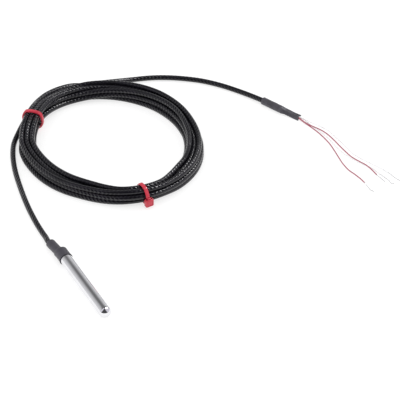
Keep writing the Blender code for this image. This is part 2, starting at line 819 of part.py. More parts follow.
def make_coil(collection, exit_point):
    """The bundle as one closed ring, lofted through sections across its middle line."""
    shape = bmesh.new()
    sections = []
    for step in range(COIL_STATIONS):
        angle = 2 * math.pi * step / COIL_STATIONS
        middle = BUNDLE_HEIGHT / 2 + lift_at(angle)
        section = []
        for x, y in rounded_outline(bundle_width(angle), BUNDLE_HEIGHT, BUNDLE_CORNER):
            section.append(shape.verts.new(coil_point(exit_point, angle, x, middle + y)))
        sections.append(section)
    for section, onward in zip(sections, sections[1:] + sections[:1]):
        for first in range(len(section)):
            second = (first + 1) % len(section)
            shape.faces.new((section[first], section[second], onward[second], onward[first]))
    bmesh.ops.recalc_face_normals(shape, faces=shape.faces)
    mesh = bpy.data.meshes.new("cable_coil")
    shape.to_mesh(mesh)
    shape.free()
    smooth_shade(mesh)
    return add_piece("cable_coil", mesh, "jacket_black", collection)


def make_tie(number, angle, skew, lift, head_below, collection, helpers, exit_point):
    """A strap round the bundle with its head, moulded as one.

    The strap's outline lies in a plane across the bundle, turned by skew. The head is on the
    bundle's outer side, or below the bundle where head_below is set.
    """
    name = f"tie_{number}"
    step = 0.01
    before = coil_point(exit_point, angle - step)
    after = coil_point(exit_point, angle + step)
    along = Matrix.Rotation(skew, 3, "Z") @ (after - before).normalized()
    up = Vector((0.0, 0.0, 1.0))
    outward = along.cross(up)
    centre = coil_point(exit_point, angle, height=BUNDLE_HEIGHT / 2 + lift)
    axes = Matrix((outward, up, -along)).transposed()
    if axes.determinant() < 0:
        axes = Matrix((outward, up, along)).transposed()
    place = Matrix.Translation(centre) @ axes.to_4x4()

    width = BUNDLE_WIDTH_AT_TIES / math.cos(skew) + TIE_WIDTH * abs(math.tan(skew))
    outlines = []
    for distance in (SEAT_GAP + TIE_THICKNESS, SEAT_GAP):
        outlines.append(
            rounded_outline(
                width + 2 * distance, BUNDLE_HEIGHT + 2 * distance, BUNDLE_CORNER + distance
            )
        )
    strap_curve = flat_curve(name + "_strap", outlines)
    strap_curve.fill_mode = "BOTH"
    strap_curve.extrude = TIE_WIDTH / 2
    strap = bpy.data.objects.new(name + "_strap", strap_curve)
    collection.objects.link(strap)
    bpy.context.view_layer.update()
    tie = add_piece(name, mesh_from(strap), "tie_red", collection)
    tie.matrix_world = place

    if head_below:
        seat = Vector((0.0, -(BUNDLE_HEIGHT / 2 + SEAT_GAP), 0.0))
        turn = Matrix.Rotation(-math.pi / 2, 4, "Z")
    else:
        middle = TIE_HEAD_ABOVE_FLOOR + TIE_HEAD_LENGTH / 2
        seat = Vector((width / 2 + SEAT_GAP, middle - centre.z, 0.0))
        turn = Matrix.Identity(4)
    head_place = place @ Matrix.Translation(seat) @ turn
    # The head starts inside the strap's thickness, so that no face of the two coincides
    depth = TIE_HEAD_HEIGHT - TIE_THICKNESS / 4
    head = block(name + "_head", (depth, TIE_HEAD_LENGTH, TIE_HEAD_WIDTH), helpers)
    head.matrix_world = head_place @ Matrix.Translation((TIE_HEAD_HEIGHT - depth / 2, 0.0, 0.0))
    edge = head.modifiers.new("edge", "BEVEL")
    edge.width = TIE_HEAD_EDGE
    edge.segments = 2
    unite(tie, head)

    recess = block(name + "_recess", (2 * TIE_HEAD_RECESS, TIE_WIDTH, TIE_WIDTH), helpers)
    recess.matrix_world = head_place @ Matrix.Translation((TIE_HEAD_HEIGHT, 0.0, 0.0))
    cut(tie, recess)
    return tie


def block(name, size, helpers):
    """A box of the given size, as a hidden helper."""
    shape = bmesh.new()
    bmesh.ops.create_cube(shape, size=1.0)
    bmesh.ops.scale(shape, vec=size, verts=shape.verts)
    mesh = bpy.data.meshes.new(name)
    shape.to_mesh(mesh)
    shape.free()
    helper = bpy.data.objects.new(name, mesh)
    helpers.objects.link(helper)
    hide_helper(helper)
    return helper


# The cable's free stretches and its far end


def from_hand(start, points):
    """Hand-chosen points in millimetres, as places seen from start, heights from the floor."""
    return [Vector((start.x + x * MM, start.y + y * MM, z * MM)) for x, y, z in points]


def make_probe_run(collection, exit_point, exit_direction):
    """From the head's sleeve to the outer side of the coil, close to the first tie."""
    route = [exit_point + exit_direction * SEAT_GAP, exit_point + exit_direction * CABLE_DIAMETER]
    route += from_hand(exit_point, PROBE_RUN)
    points = smooth_route(route, 2.0 * CABLE_DIAMETER, CABLE_RADIUS)
    return tube("cable_probe_run", points, CABLE_DIAMETER, "jacket_black", collection)


def make_tail_run(collection, exit_point):
    """From the outer side of the coil into the tail sleeve."""
    beside = BUNDLE_WIDTH / 2 + SEAT_GAP + CABLE_RADIUS
    route = []
    for onward in (0.0, 5.0):
        angle = TAIL_RUN_LEAVES - math.radians(onward)
        route.append(coil_point(exit_point, angle, beside, TAIL_RUN_START_HEIGHT))
    route += from_hand(exit_point, TAIL_RUN)
    for along in (0.0, CABLE_IN_TAIL_SLEEVE / 2, CABLE_IN_TAIL_SLEEVE):
        centre, across, up = tail_frame(exit_point, along)
        route.append(centre)
    points = smooth_route(route, 2.0 * CABLE_DIAMETER, CABLE_RADIUS)
    return tube("cable_tail_run", points, CABLE_DIAMETER, "jacket_black", collection)


def tail_frame(exit_point, along):
    """Centre, across and up of the tail sleeve at a distance along it."""
    beyond = max(0.0, along - TAIL_SLEEVE_ROUND)
    turned_by = TAIL_SLEEVE_TURN * eased(beyond / TAIL_SLEEVE_TAPER)
    heading = Vector((math.cos(TAIL_SLEEVE_HEADING), math.sin(TAIL_SLEEVE_HEADING), 0.0))
    pinched = Matrix.Rotation(turned_by, 3, "Z") @ heading
    level = Vector((-pinched.y, pinched.x, 0.0))
    up = Vector((0.0, 0.0, 1.0))
    round_height = CABLE_RADIUS + LINING_GAP + TAIL_SLEEVE_WALL
    fin_reach = (TAIL_SLEEVE_FLAT_WIDTH - TAIL_SLEEVE_FIN) / 2
    flat_height = fin_reach * math.sin(TAIL_SLEEVE_TILT) + TAIL_SLEEVE_FIN / 2
    share = eased((along - TAIL_SLEEVE_ROUND) / (TAIL_SLEEVE_LENGTH - TAIL_SLEEVE_ROUND))
    centre = Vector((exit_point.x, exit_point.y, 0.0))
    centre += Vector((*TAIL_SLEEVE_START, 0.0)) * MM + heading * (along - beyond) + pinched * beyond
    centre.z = round_height + (flat_height - round_height) * share
    across = level * math.cos(TAIL_SLEEVE_TILT) + up * math.sin(TAIL_SLEEVE_TILT)
    return centre, across, up * math.cos(TAIL_SLEEVE_TILT) - level * math.sin(TAIL_SLEEVE_TILT)


def make_tail_sleeve(collection, exit_point):
    """Heat-shrink: round over the cable's end, pinched flat on both sides of the wires."""
    bore = CABLE_RADIUS + LINING_GAP
    half_square = WIRE_SQUARE_PITCH / 2 + WIRE_RADIUS + LINING_GAP
    round_outer = circle(bore + TAIL_SLEEVE_WALL, SLEEVE_SIDES)
    round_inner = circle(bore, SLEEVE_SIDES)
    flat_outer = pinched_outline(
        TAIL_SLEEVE_FLAT_WIDTH / 2,
        half_square + TAIL_SLEEVE_THIN_WALL,
        TAIL_SLEEVE_FIN / 2,
        SLEEVE_SIDES,
    )
    flat_inner = square_outline(half_square, SLEEVE_SIDES)
    taper_steps = 4
    distances = [0.0, CABLE_IN_TAIL_SLEEVE / 2, CABLE_IN_TAIL_SLEEVE + SEAT_GAP]
    for step in range(taper_steps + 1):
        distances.append(TAIL_SLEEVE_ROUND + TAIL_SLEEVE_TAPER * step / taper_steps)
    distances.append((distances[-1] + TAIL_SLEEVE_LENGTH) / 2)
    distances.append(TAIL_SLEEVE_LENGTH)
    stations = []
    for along in distances:
        share = eased((along - TAIL_SLEEVE_ROUND) / TAIL_SLEEVE_TAPER)
        centre, across, up = tail_frame(exit_point, along)
        outer = blend(round_outer, flat_outer, share)
        inner = blend(round_inner, flat_inner, share)
        stations.append((centre, across, up, outer, inner))
    return lofted_sleeve("tail_sleeve", stations, "tail_sleeve_grey", collection)


def make_leads(collection, exit_point):
    """Four wires from the cable's end through the sleeve, then fanned out, with bare ends."""
    front, _, _ = tail_frame(exit_point, TAIL_SLEEVE_LENGTH)
    square = WIRE_SQUARE_PITCH / 2
    for wire, side, row, slot in (
        ("red_1", -1, -1, "red_insulation"),
        ("red_2", -1, 1, "red_insulation"),
        ("white_1", 1, 1, "white_insulation"),
        ("white_2", 1, -1, "white_insulation"),
    ):
        insulated, stripped = WIRE_ROUTES[wire]
        route = []
        inside_steps = 6
        inside_start = CABLE_IN_TAIL_SLEEVE + SEAT_GAP
        for step in range(inside_steps + 1):
            along = inside_start + (TAIL_SLEEVE_LENGTH - inside_start) * step / inside_steps
            centre, across, up = tail_frame(exit_point, along)
            route.append(centre + across * side * square + up * row * square)
        route += from_hand(front, insulated)
        points = smooth_route(route, 3.0 * WIRE_DIAMETER, WIRE_RADIUS)
        tube("lead_" + wire, points, WIRE_DIAMETER, slot, collection)
        onward = (points[-1] - points[-2]).normalized()
        bare_route = [points[-1] + onward * LINING_GAP]
        bare_route += from_hand(front, stripped)
        bare = smooth_route(bare_route, 3.0 * CONDUCTOR_DIAMETER, CONDUCTOR_DIAMETER / 2)
        tube("bare_end_" + wire, bare, CONDUCTOR_DIAMETER, "tinned_copper", collection)


def main():
    clear_scene()
    parts = new_collection("temperature_probe")
    helpers = new_collection("helpers")
    axis = make_head(parts)
    centre, across, up = sleeve_frame(SLEEVE_END)
    exit_point = axis.matrix_world @ centre
    exit_direction = (axis.matrix_world.to_3x3() @ up.cross(across)).normalized()
    make_coil(parts, exit_point)
    make_tie(1, TIE_1_ANGLE, TIE_1_SKEW, TIE_1_LIFT, True, parts, helpers, exit_point)
    make_tie(2, TIE_2_ANGLE, TIE_2_SKEW, TIE_2_LIFT, False, parts, helpers, exit_point)
    make_probe_run(parts, exit_point, exit_direction)
    make_tail_run(parts, exit_point)
    make_tail_sleeve(parts, exit_point)
    make_leads(parts, exit_point)


main()
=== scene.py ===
"""Looks for the resistance temperature probe with its coiled lead, on a white table.

The cable is one tube of its real length: it leaves the head, is wound into the tied bundle and
ends in the tail sleeve. The bundle's strands are wound in sections across its middle line and then
pushed apart, squeezed by the ties and smoothed, so that they lie on and beside each other.
"""

import math

import bmesh
import bpy
import numpy as np
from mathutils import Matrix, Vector


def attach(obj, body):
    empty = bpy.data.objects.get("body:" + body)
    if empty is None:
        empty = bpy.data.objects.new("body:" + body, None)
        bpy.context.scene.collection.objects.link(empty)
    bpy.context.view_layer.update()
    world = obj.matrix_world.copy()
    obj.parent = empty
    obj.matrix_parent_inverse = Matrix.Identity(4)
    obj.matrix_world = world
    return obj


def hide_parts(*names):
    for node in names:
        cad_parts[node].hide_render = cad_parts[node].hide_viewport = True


MM = 0.001

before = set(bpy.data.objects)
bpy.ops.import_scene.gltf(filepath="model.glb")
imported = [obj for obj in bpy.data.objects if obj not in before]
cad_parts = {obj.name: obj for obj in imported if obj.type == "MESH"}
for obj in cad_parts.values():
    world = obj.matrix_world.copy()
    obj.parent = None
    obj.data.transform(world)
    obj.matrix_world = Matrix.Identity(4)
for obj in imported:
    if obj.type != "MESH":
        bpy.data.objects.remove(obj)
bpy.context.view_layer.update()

# The part's own measures, in millimetres, as the shapes here need them. The cable alone is a little
# thicker than the part's 2.5, as the photograph has it.
CABLE = 2.8
WIRE = 0.6
EXIT = np.array((-1.388, 29.606, 2.620))
EXIT_DIRECTION = np.array((-0.154, 0.983, -0.099))
# The cable sits a little to one side in the sleeve's mouth
CABLE_START = EXIT + np.array((0.12, 0.0, -0.04))
CABLE_NEXT = CABLE_START + EXIT_DIRECTION * 2.0 + np.array((0.12, 0.0, 0.0))
COIL_CENTRE = np.array((60.212, 88.406))
COIL_RADIUS = 44.2
COIL_OVAL = 2.9
COIL_OVAL_AT = math.radians(104.0)
# How far each tie draws the middle line out, and how far to its sides that and its squeeze reach
TIE_DRAWS = (-2.55, 3.0)
TIE_REACH = math.radians(34.0)
TIE_CORE = math.radians(6.0)
TIE_ANGLES = (math.radians(132.9), math.radians(-96.6))
TIE_SKEWS = (math.radians(-6.5), math.radians(13.0))
TIE_SLIDES = (1.2, 0.0)
TIE_WIDTH = 1.9
TIE_THICKNESS = 1.0
TIE_CLEARANCE = 0.05
TIE_LIFTS = (3.0, 1.3)
TIE_HEAD_LENGTH = 4.3
TIE_HEAD_BREADTH = 4.6
TIE_HEAD_GAP = 0.3
# Outward place of the second tie's head's face, its least depth, and how high its underside is
TIE_HEAD_FACE = 7.17
TIE_HEAD_LEAST = 2.3
TIE_HEAD_FOOT = 1.0
BUNDLE_HEIGHT = 7.6
TAIL_START = np.array((149.9, 51.9))
TAIL_HEADING = math.radians(-69.0)
TAIL_TURN = math.radians(7.5)
TAIL_LENGTH = 23.5
TAIL_ROUND = 12.4

# The head's own axis: z from the closed tip towards the cable, up is -y
HEAD_AT = np.array((0.012, -30.001, 2.967))
HEAD_RISE = 0.010949
SHEATH_RADIUS = 3.0
SHEATH_BORE = 2.5
SHEATH_LENGTH = 50.0
SHEATH_TIP = 0.8
SLEEVE_MOUTH = 44.1
SLEEVE_END = 59.4
# Where the head's sleeve passes over the sheath's end it steps aside, and then bends away
SLEEVE_STEP = (-0.50, 0.45)
SLEEVE_STEP_FROM = 49.9
SLEEVE_STEP_OVER = 1.5
SLEEVE_BEND = (-0.70, 0.48)
SLEEVE_BEND_FROM = 50.4

# The tail sleeve's shapes: bore and wall where it is round, flat width, fins and core where pinched
TAIL_BORE = 1.47
TAIL_OUTER = 2.05
TAIL_TAPER = 3.0
TAIL_FLAT_WIDTH = 3.7
TAIL_FIN = 0.9
TAIL_TILT = math.radians(25.0)
TAIL_SHIFT = np.array((0.2, 0.35, 0.0))
WIRE_SQUARE = 0.33

# The cable's free stretches from its exit: to the coil, and from the coil to the tail sleeve
PROBE_RUN = (
    (0.45, 5.53, 1.85),
    (0.70, 10.41, 1.50),
    (1.26, 18.75, 1.40),
    (3.11, 33.37, 1.40),
    (7.13, 53.11, 1.40),
    (10.45, 65.38, 1.40),
)
TAIL_RUN = (
    (97.05, 103.89, 1.85),
    (107.66, 100.84, 1.40),
    (115.01, 97.12, 1.40),
    (121.82, 92.54, 1.40),
    (130.47, 85.15, 1.40),
    (137.90, 76.02, 1.40),
    (144.29, 65.36, 1.47),
    (147.66, 58.14, 1.80),
)

# Radius of one of the seven strands in a wire's bare end
STRAND_RADIUS = 0.056

# Routes of the four wires, across and behind the middle of the tail sleeve's front, and height
WIRE_ROUTES = {
    "red_1": (
        (
            (0.20, -1.50, 0.45), (0.66, -4.30, 0.34), (1.30, -7.30, 0.30), (2.30, -13.6, 0.30),
            (2.70, -19.5, 0.30), (2.50, -26.3, 0.30), (1.50, -32.7, 0.30), (0.40, -38.5, 0.30),
            (-0.50, -43.9, 0.30), (-0.70, -49.7, 0.30), (0.10, -54.1, 0.30), (0.60, -57.8, 0.30),
            (0.80, -62.2, 0.30),
        ),
        ((0.70, -64.1, 0.20), (0.30, -68.5, 0.18), (1.20, -70.3, 0.18)),
    ),
    "red_2": (
        (
            (0.05, -1.75, 1.02), (0.50, -4.60, 0.95), (1.25, -7.20, 0.90), (2.20, -9.00, 0.78),
            (4.80, -14.1, 0.45), (5.90, -18.3, 0.30), (6.20, -24.4, 0.30), (6.10, -31.1, 0.30),
            (6.20, -36.5, 0.30), (6.50, -41.0, 0.30), (7.75, -46.8, 0.66), (8.75, -50.8, 0.97),
            (9.50, -54.9, 0.62), (9.70, -59.7, 0.30),
        ),
        ((9.90, -61.5, 0.20), (10.1, -63.8, 0.18), (10.4, -66.4, 0.18)),
    ),
    "white_1": (
        (
            (0.95, -1.70, 1.62), (2.00, -4.40, 1.62), (4.10, -7.60, 0.90), (6.00, -10.6, 0.40),
            (7.90, -15.2, 0.30), (8.30, -20.5, 0.30), (8.50, -27.0, 0.30), (8.50, -33.5, 0.30),
            (8.80, -39.7, 0.30), (10.6, -46.0, 0.30), (13.0, -52.6, 0.30), (15.0, -57.9, 0.30),
        ),
        ((15.5, -60.0, 0.20), (16.2, -62.4, 0.18), (16.6, -66.3, 0.18), (17.5, -69.3, 0.18)),
    ),
    "white_2": (
        (
            (1.45, -1.60, 0.85), (2.00, -4.60, 0.45), (2.60, -8.21, 0.30), (3.30, -11.7, 0.30),
            (4.10, -17.3, 0.30), (4.50, -23.5, 0.30), (4.10, -29.0, 0.30), (4.40, -35.0, 0.30),
            (5.30, -41.2, 0.30), (7.00, -46.8, 0.30), (8.90, -50.5, 0.30), (10.7, -54.6, 0.30),
            (11.5, -60.2, 0.30),
        ),
        ((11.9, -62.0, 0.20), (12.6, -66.8, 0.18), (12.5, -69.2, 0.18), (13.6, -69.6, 0.18)),
    ),
}

# How the cable is wound: full turns, the angles where it joins and leaves the bundle, and the
# stations at which a turn is worked out
TURNS = 8
JOIN_ANGLE = 160.0
FIRST_TURN_ANGLE = 139.0
LEAVE_ANGLE = 66.0
LEAVE_OVER = 14
STATIONS = 240

# Slots of the strands across the bundle, outward and up, in millimetres
SLOTS = (
    (3.7, 1.3), (0.3, 1.3), (-3.5, 1.3), (-3.4, 3.9),
    (-2.4, 6.3), (0.2, 6.0), (2.7, 6.2), (3.5, 3.9),
    (5.6, 4.4),
)
SLOTS_WIDTH = 7.5
SHIFT_SHARE = 0.3
# How far the bundle's inner and outer sides lie from the slots' own place, by angle
BREADTH = (
    (-180.0, -1.6, -1.2), (-163.0, -1.0, -0.7), (-152.0, -0.3, -0.7), (-143.0, 0.8, -1.0),
    (-136.0, 1.4, -1.4), (-129.0, 1.1, -0.7), (-117.0, -0.4, 0.5), (-105.0, -2.0, 0.8),
    (-91.0, -2.7, 1.9), (-83.0, -4.1, 2.4), (-73.0, -2.7, 1.7), (-60.0, -0.8, 1.1),
    (-47.0, -0.8, 0.3), (-30.0, 0.1, -0.5), (-14.0, 1.3, -2.8), (1.0, 2.6, -2.8),
    (15.0, 2.2, -2.3), (26.0, 1.8, -1.9), (44.0, 0.3, -2.4), (58.0, -0.8, -2.1),
    (70.0, -1.4, -2.1), (83.0, -1.7, -0.3), (91.0, -1.1, -0.5), (100.0, -0.8, -1.6),
    (110.0, -0.8, -1.9), (122.0, -0.8, -0.9), (153.0, -0.3, 0.0), (169.0, -1.5, -1.2),
    (180.0, -1.6, -1.2),
)
# How much higher the bundle is for each millimetre that it is narrower
HEIGHT_FOR_WIDTH = 0.07
WANDER_KNOTS = 6
WANDER = (0.5, 0.4)

# The pushing apart: rounds, the last ones without smoothing, and the strands' wanted distance
RELAX_ROUNDS = 260
LAST_ROUNDS = 8
STRAND_DISTANCE = CABLE * 0.99
PUSH = 0.45
PULL_TO_SLOT = 0.05
TIE_PULL_IN = 0.03
TIE_PULL_UP = 0.02
# The first tie holds the strands a little further out, the second a little further in
TIE_HOLDS_AT = (0.8, -0.5)

# Where the cable comes to the bundle's side and into the first tie, as PROBE_RUN has it
ENTRY = (
    (13.80, 74.40, 1.40), (15.20, 77.20, 1.40), (16.50, 79.80, 1.45), (17.70, 81.80, 1.55),
    (19.00, 83.70, 1.80), (21.50, 86.12, 2.60), (23.91, 88.26, 3.70), (25.68, 89.39, 4.60),
    (27.46, 90.53, 5.50), (28.95, 91.68, 6.30), (30.66, 93.58, 6.80), (33.20, 96.35, 6.80),
    (35.75, 98.75, 6.60), (40.10, 101.8, 6.10),
)
# Where it leaves the bundle's side, before TAIL_RUN
LEAVING = ((86.3, 106.7, 3.0), (91.8, 105.7, 2.4))
CABLE_SPACING = 0.6
WIRE_SPACING = 0.35
TUBE_SIDES = 16


# Curves


def cubic(t, width, start, end, start_slope, end_slope):
    """A curve from start to end over a width, at the share t of it."""
    return (
        (2 * t**3 - 3 * t**2 + 1) * start
        + (t**3 - 2 * t**2 + t) * width * start_slope
        + (3 * t**2 - 2 * t**3) * end
        + (t**3 - t**2) * width * end_slope
    )


def smooth_line(points, spacing):
    """Evenly spaced points on a smooth curve through the given ones."""
    points = np.asarray(points, float)
    steps = np.linalg.norm(np.diff(points, axis=0), axis=1)
    knots = np.concatenate(((0.0,), np.cumsum(np.sqrt(steps))))
    slopes = np.gradient(points, knots, axis=0)
    t = np.linspace(0, 1, 40, endpoint=False)[:, None]
    fine = []
    for index in range(len(points) - 1):
        after = index + 1
        width = knots[after] - knots[index]
        fine.append(cubic(t, width, points[index], points[after], slopes[index], slopes[after]))
    fine.append(points[-1:])
    return respaced(np.concatenate(fine), spacing)


def respaced(points, spacing):
    """The same line with evenly spaced points."""
    steps = np.linalg.norm(np.diff(points, axis=0), axis=1)
    along = np.concatenate(((0.0,), np.cumsum(steps)))
    count = max(2, int(round(along[-1] / spacing)))
    wanted = np.linspace(0, along[-1], count + 1)
    return np.stack([np.interp(wanted, along, points[:, axis]) for axis in range(3)], axis=1)


def eased(share):
    share = np.clip(share, 0.0, 1.0)
    return share * share * (3 - 2 * share)


# The bundle's middle line, as the part has it


def nearness(angle, tie_angle):
    away = np.abs((angle - tie_angle + math.pi) % (2 * math.pi) - math.pi)
    return eased((TIE_REACH - away) / (TIE_REACH - TIE_CORE))


def coil_radius(angle):
    radius = COIL_RADIUS + COIL_OVAL * np.cos(2 * (angle - COIL_OVAL_AT))
    for draw, tie in zip(TIE_DRAWS, TIE_ANGLES):
        radius = radius + draw * nearness(angle, tie)
    return radius


def lift_at(angle):
    return np.maximum(*(lift * nearness(angle, tie) for lift, tie in zip(TIE_LIFTS, TIE_ANGLES)))


def squeeze_at(angle):
    return sum(nearness(angle, tie) for tie in TIE_ANGLES)


def on_coil(angle, outward, height):
    radius = coil_radius(angle) + outward
    x = COIL_CENTRE[0] + radius * np.cos(angle)
    y = COIL_CENTRE[1] + radius * np.sin(angle)
    return np.stack((x, y, height), axis=-1)


def from_coil(point):
    """Angle, outward offset and height of a place beside the coil."""
    x, y = point[0] - COIL_CENTRE[0], point[1] - COIL_CENTRE[1]
    angle = math.atan2(y, x)
    return angle, math.hypot(x, y) - float(coil_radius(angle)), point[2]


def by_angle(places):
    """Places on the cable's route as angle in degrees, outward and height, in order of the angle."""
    found = [from_coil((EXIT[0] + x, EXIT[1] + y, z)) for x, y, z in places]
    return np.array(sorted((math.degrees(angle), outward, z) for angle, outward, z in found))


# Winding


def wound_strands():
    """The strands' places in the sections across the bundle, as (outward, height) by station.

    The first and last stations lie outside the bundle, on the cable's free stretches.
    """
    rng = np.random.default_rng(7)
    per_degree = STATIONS / 360.0
    total = int(round((TURNS * 360.0 + JOIN_ANGLE - LEAVE_ANGLE) * per_degree))
    index = np.arange(total + 1)
    angle = np.radians(JOIN_ANGLE - index / per_degree)

    # Slots round the bundle's section, in an order in which each one is next to the one before
    slots = np.array(SLOTS)
    turn = (index / per_degree - (JOIN_ANGLE - FIRST_TURN_ANGLE)) / 360.0
    first = np.clip(np.floor(turn).astype(int), 0, len(slots) - 1)
    share = eased((turn - np.floor(turn)) / SHIFT_SHARE)
    places = slots[np.maximum(first - 1, 0)] * (1 - share[:, None]) + slots[first] * share[:, None]
    places[turn < 1] = slots[0]

    # Slow wandering of each strand inside the bundle
    knots = rng.normal(0.0, 1.0, (int(turn[-1] * WANDER_KNOTS) + 3, 2))
    knot_at = np.linspace(0, turn[-1], len(knots))
    wander = np.stack([np.interp(turn, knot_at, knots[:, axis]) for axis in range(2)], axis=1)
    places += wander * WANDER

    table = np.array(BREADTH)
    turned = (np.degrees(angle) + 180.0) % 360.0 - 180.0
    inner = np.interp(turned, table[:, 0], table[:, 1])
    outer = np.interp(turned, table[:, 0], table[:, 2])
    side = np.clip((places[:, 0] + SLOTS_WIDTH / 2) / SLOTS_WIDTH, 0, 1)
    places[:, 0] += inner * (1 - side) + outer * side
    lowest = SLOTS[0][1]
    higher = 1 + HEIGHT_FOR_WIDTH * np.clip(inner - outer, 0, None)
    places[:, 1] = lowest + (places[:, 1] - lowest) * higher

    lift = lift_at(angle)
    squeeze = squeeze_at(angle)
    places[:, 1] += lift

    # Free ends: pinned to the given route outside the bundle
    pinned = np.zeros(total + 1)
    targets = places.copy()
    entry = by_angle(ENTRY)
    degrees = np.degrees(angle)
    for axis in (0, 1):
        joined = np.interp(degrees, entry[:, 0], entry[:, 1 + axis])
        near = degrees > entry[0, 0] - 2
        targets[near, axis] = joined[near]
    pinned[degrees > entry[0, 0]] = 1.0

    leaving = index > index[-1] - int(LEAVE_OVER * per_degree)
    leave = by_angle(LEAVING)
    local = degrees + TURNS * 360.0
    for axis in (0, 1):
        away = np.interp(local, leave[:, 0], leave[:, 1 + axis])
        targets[leaving, axis] = away[leaving]
    pinned[local < leave[-1, 0]] = 1.0

    places = np.where(pinned[:, None] > 0, targets, places)
    rows = int(np.ceil((total + 1) / STATIONS))

    def in_rows(values):
        """The stations' values with a row for each turn, filled up with zeros."""
        filled = np.zeros((rows * STATIONS, *values.shape[1:]))
        filled[: total + 1] = values
        return filled.reshape(rows, STATIONS, *values.shape[1:])

    valid = in_rows(np.ones(total + 1)) > 0
    low, tight, held = in_rows(lift), in_rows(squeeze), in_rows(pinned)
    fixed = in_rows(targets)
    gap = in_rows(places)
    home = gap.copy()
    free = 1 - held
    loose = 1 - np.clip(tight, 0, 1)
    middle = low + BUNDLE_HEIGHT / 2
    pull_to = in_rows(sum(at * nearness(angle, tie) for at, tie in zip(TIE_HOLDS_AT, TIE_ANGLES)))
    for round_number in range(RELAX_ROUNDS):
        late = round_number / RELAX_ROUNDS
        # Towards its own slot where the bundle is loose, towards the middle where a tie holds it
        gap += (home - gap) * (PULL_TO_SLOT * loose * free)[..., None]
        gap[..., 0] -= (gap[..., 0] - pull_to) * TIE_PULL_IN * (1 - loose) * free
        gap[..., 1] -= (gap[..., 1] - middle) * TIE_PULL_UP * (1 - loose) * free
        for _ in range(2):
            shift = np.zeros_like(gap)
            for a in range(rows):
                for b in range(a + 1, rows):
                    both = valid[a] & valid[b]
                    apart = gap[a] - gap[b]
                    distance = np.linalg.norm(apart, axis=1) + 1e-9
                    overlap = np.clip(STRAND_DISTANCE - distance, 0, None) * both
                    move = apart / distance[:, None] * (overlap * PUSH)[:, None]
                    shift[a] += move
                    shift[b] -= move
            gap += shift * free[..., None]
            gap[..., 1] = np.maximum(gap[..., 1], CABLE / 2 + low)
        # Stiffness: smooth along the strand
        if round_number < RELAX_ROUNDS - LAST_ROUNDS:
            line = gap.reshape(-1, 2)[: total + 1].copy()
            for reach in (10, 4, 1):
                soft = line.copy()
                soft[reach:-reach] = (line[: -2 * reach] + line[2 * reach :]) / 2
                amount = (0.30 if reach > 1 else 0.5) * (1 - 0.6 * late)
                line += (soft - line) * amount * (1 - pinned[:, None])
            gap.reshape(-1, 2)[: total + 1] = line
        gap = np.where(held[..., None] > 0, fixed, gap)
    return angle, gap.reshape(-1, 2)[: total + 1]


def cable_path():
    """The whole cable, from the head's sleeve to inside the tail sleeve."""
    angle, strand = wound_strands()
    wound = on_coil(angle, strand[:, 0], strand[:, 1])
    head = [CABLE_START, CABLE_NEXT]
    head += [np.array((EXIT[0] + x, EXIT[1] + y, z)) for x, y, z in PROBE_RUN]
    tail = [np.array((EXIT[0] + x, EXIT[1] + y, z)) for x, y, z in TAIL_RUN]
    for along in (0.0, 5.0, 10.0):
        tail.append(tail_frame(along)[0])
    return smooth_line(np.concatenate((head, wound[::6], tail)), CABLE_SPACING)


def tail_frame(along):
    """Centre, across and up of the tail sleeve at a distance along it, as the part has it."""
    beyond = max(0.0, along - TAIL_ROUND)
    turned = TAIL_TURN * float(eased(beyond / 3.0))
    heading = np.array((math.cos(TAIL_HEADING), math.sin(TAIL_HEADING), 0.0))
    pinched = np.array((math.cos(TAIL_HEADING + turned), math.sin(TAIL_HEADING + turned), 0.0))
    level = np.array((-pinched[1], pinched[0], 0.0))
    up = np.array((0.0, 0.0, 1.0))
    flat_height = (TAIL_FLAT_WIDTH - TAIL_FIN) / 2 * math.sin(TAIL_TILT) + TAIL_FIN / 2
    share = float(eased((along - TAIL_ROUND) / (TAIL_LENGTH - TAIL_ROUND)))
    centre = np.array((EXIT[0] + TAIL_START[0], EXIT[1] + TAIL_START[1], 0.0))
    centre = centre + heading * (along - beyond) + pinched * beyond
    centre[2] = TAIL_OUTER + (flat_height - TAIL_OUTER) * share
    centre = centre + TAIL_SHIFT
    across = level * math.cos(TAIL_TILT) + up * math.sin(TAIL_TILT)
    return centre, across, up * math.cos(TAIL_TILT) - level * math.sin(TAIL_TILT)


# Meshes


def frames_along(points):
    """A direction and two cross directions at each point, carried along without twist."""
    ahead = np.gradient(points, axis=0)
    ahead /= np.linalg.norm(ahead, axis=1)[:, None]
    side = np.zeros_like(points)
    seed = np.cross(ahead[0], (0.0, 0.0, 1.0))
    side[0] = seed / np.linalg.norm(seed)
    for index in range(1, len(points)):
        carried = side[index - 1] - ahead[index] * np.dot(side[index - 1], ahead[index])
        side[index] = carried / np.linalg.norm(carried)
    up = np.cross(side, ahead)
    return ahead, side, up


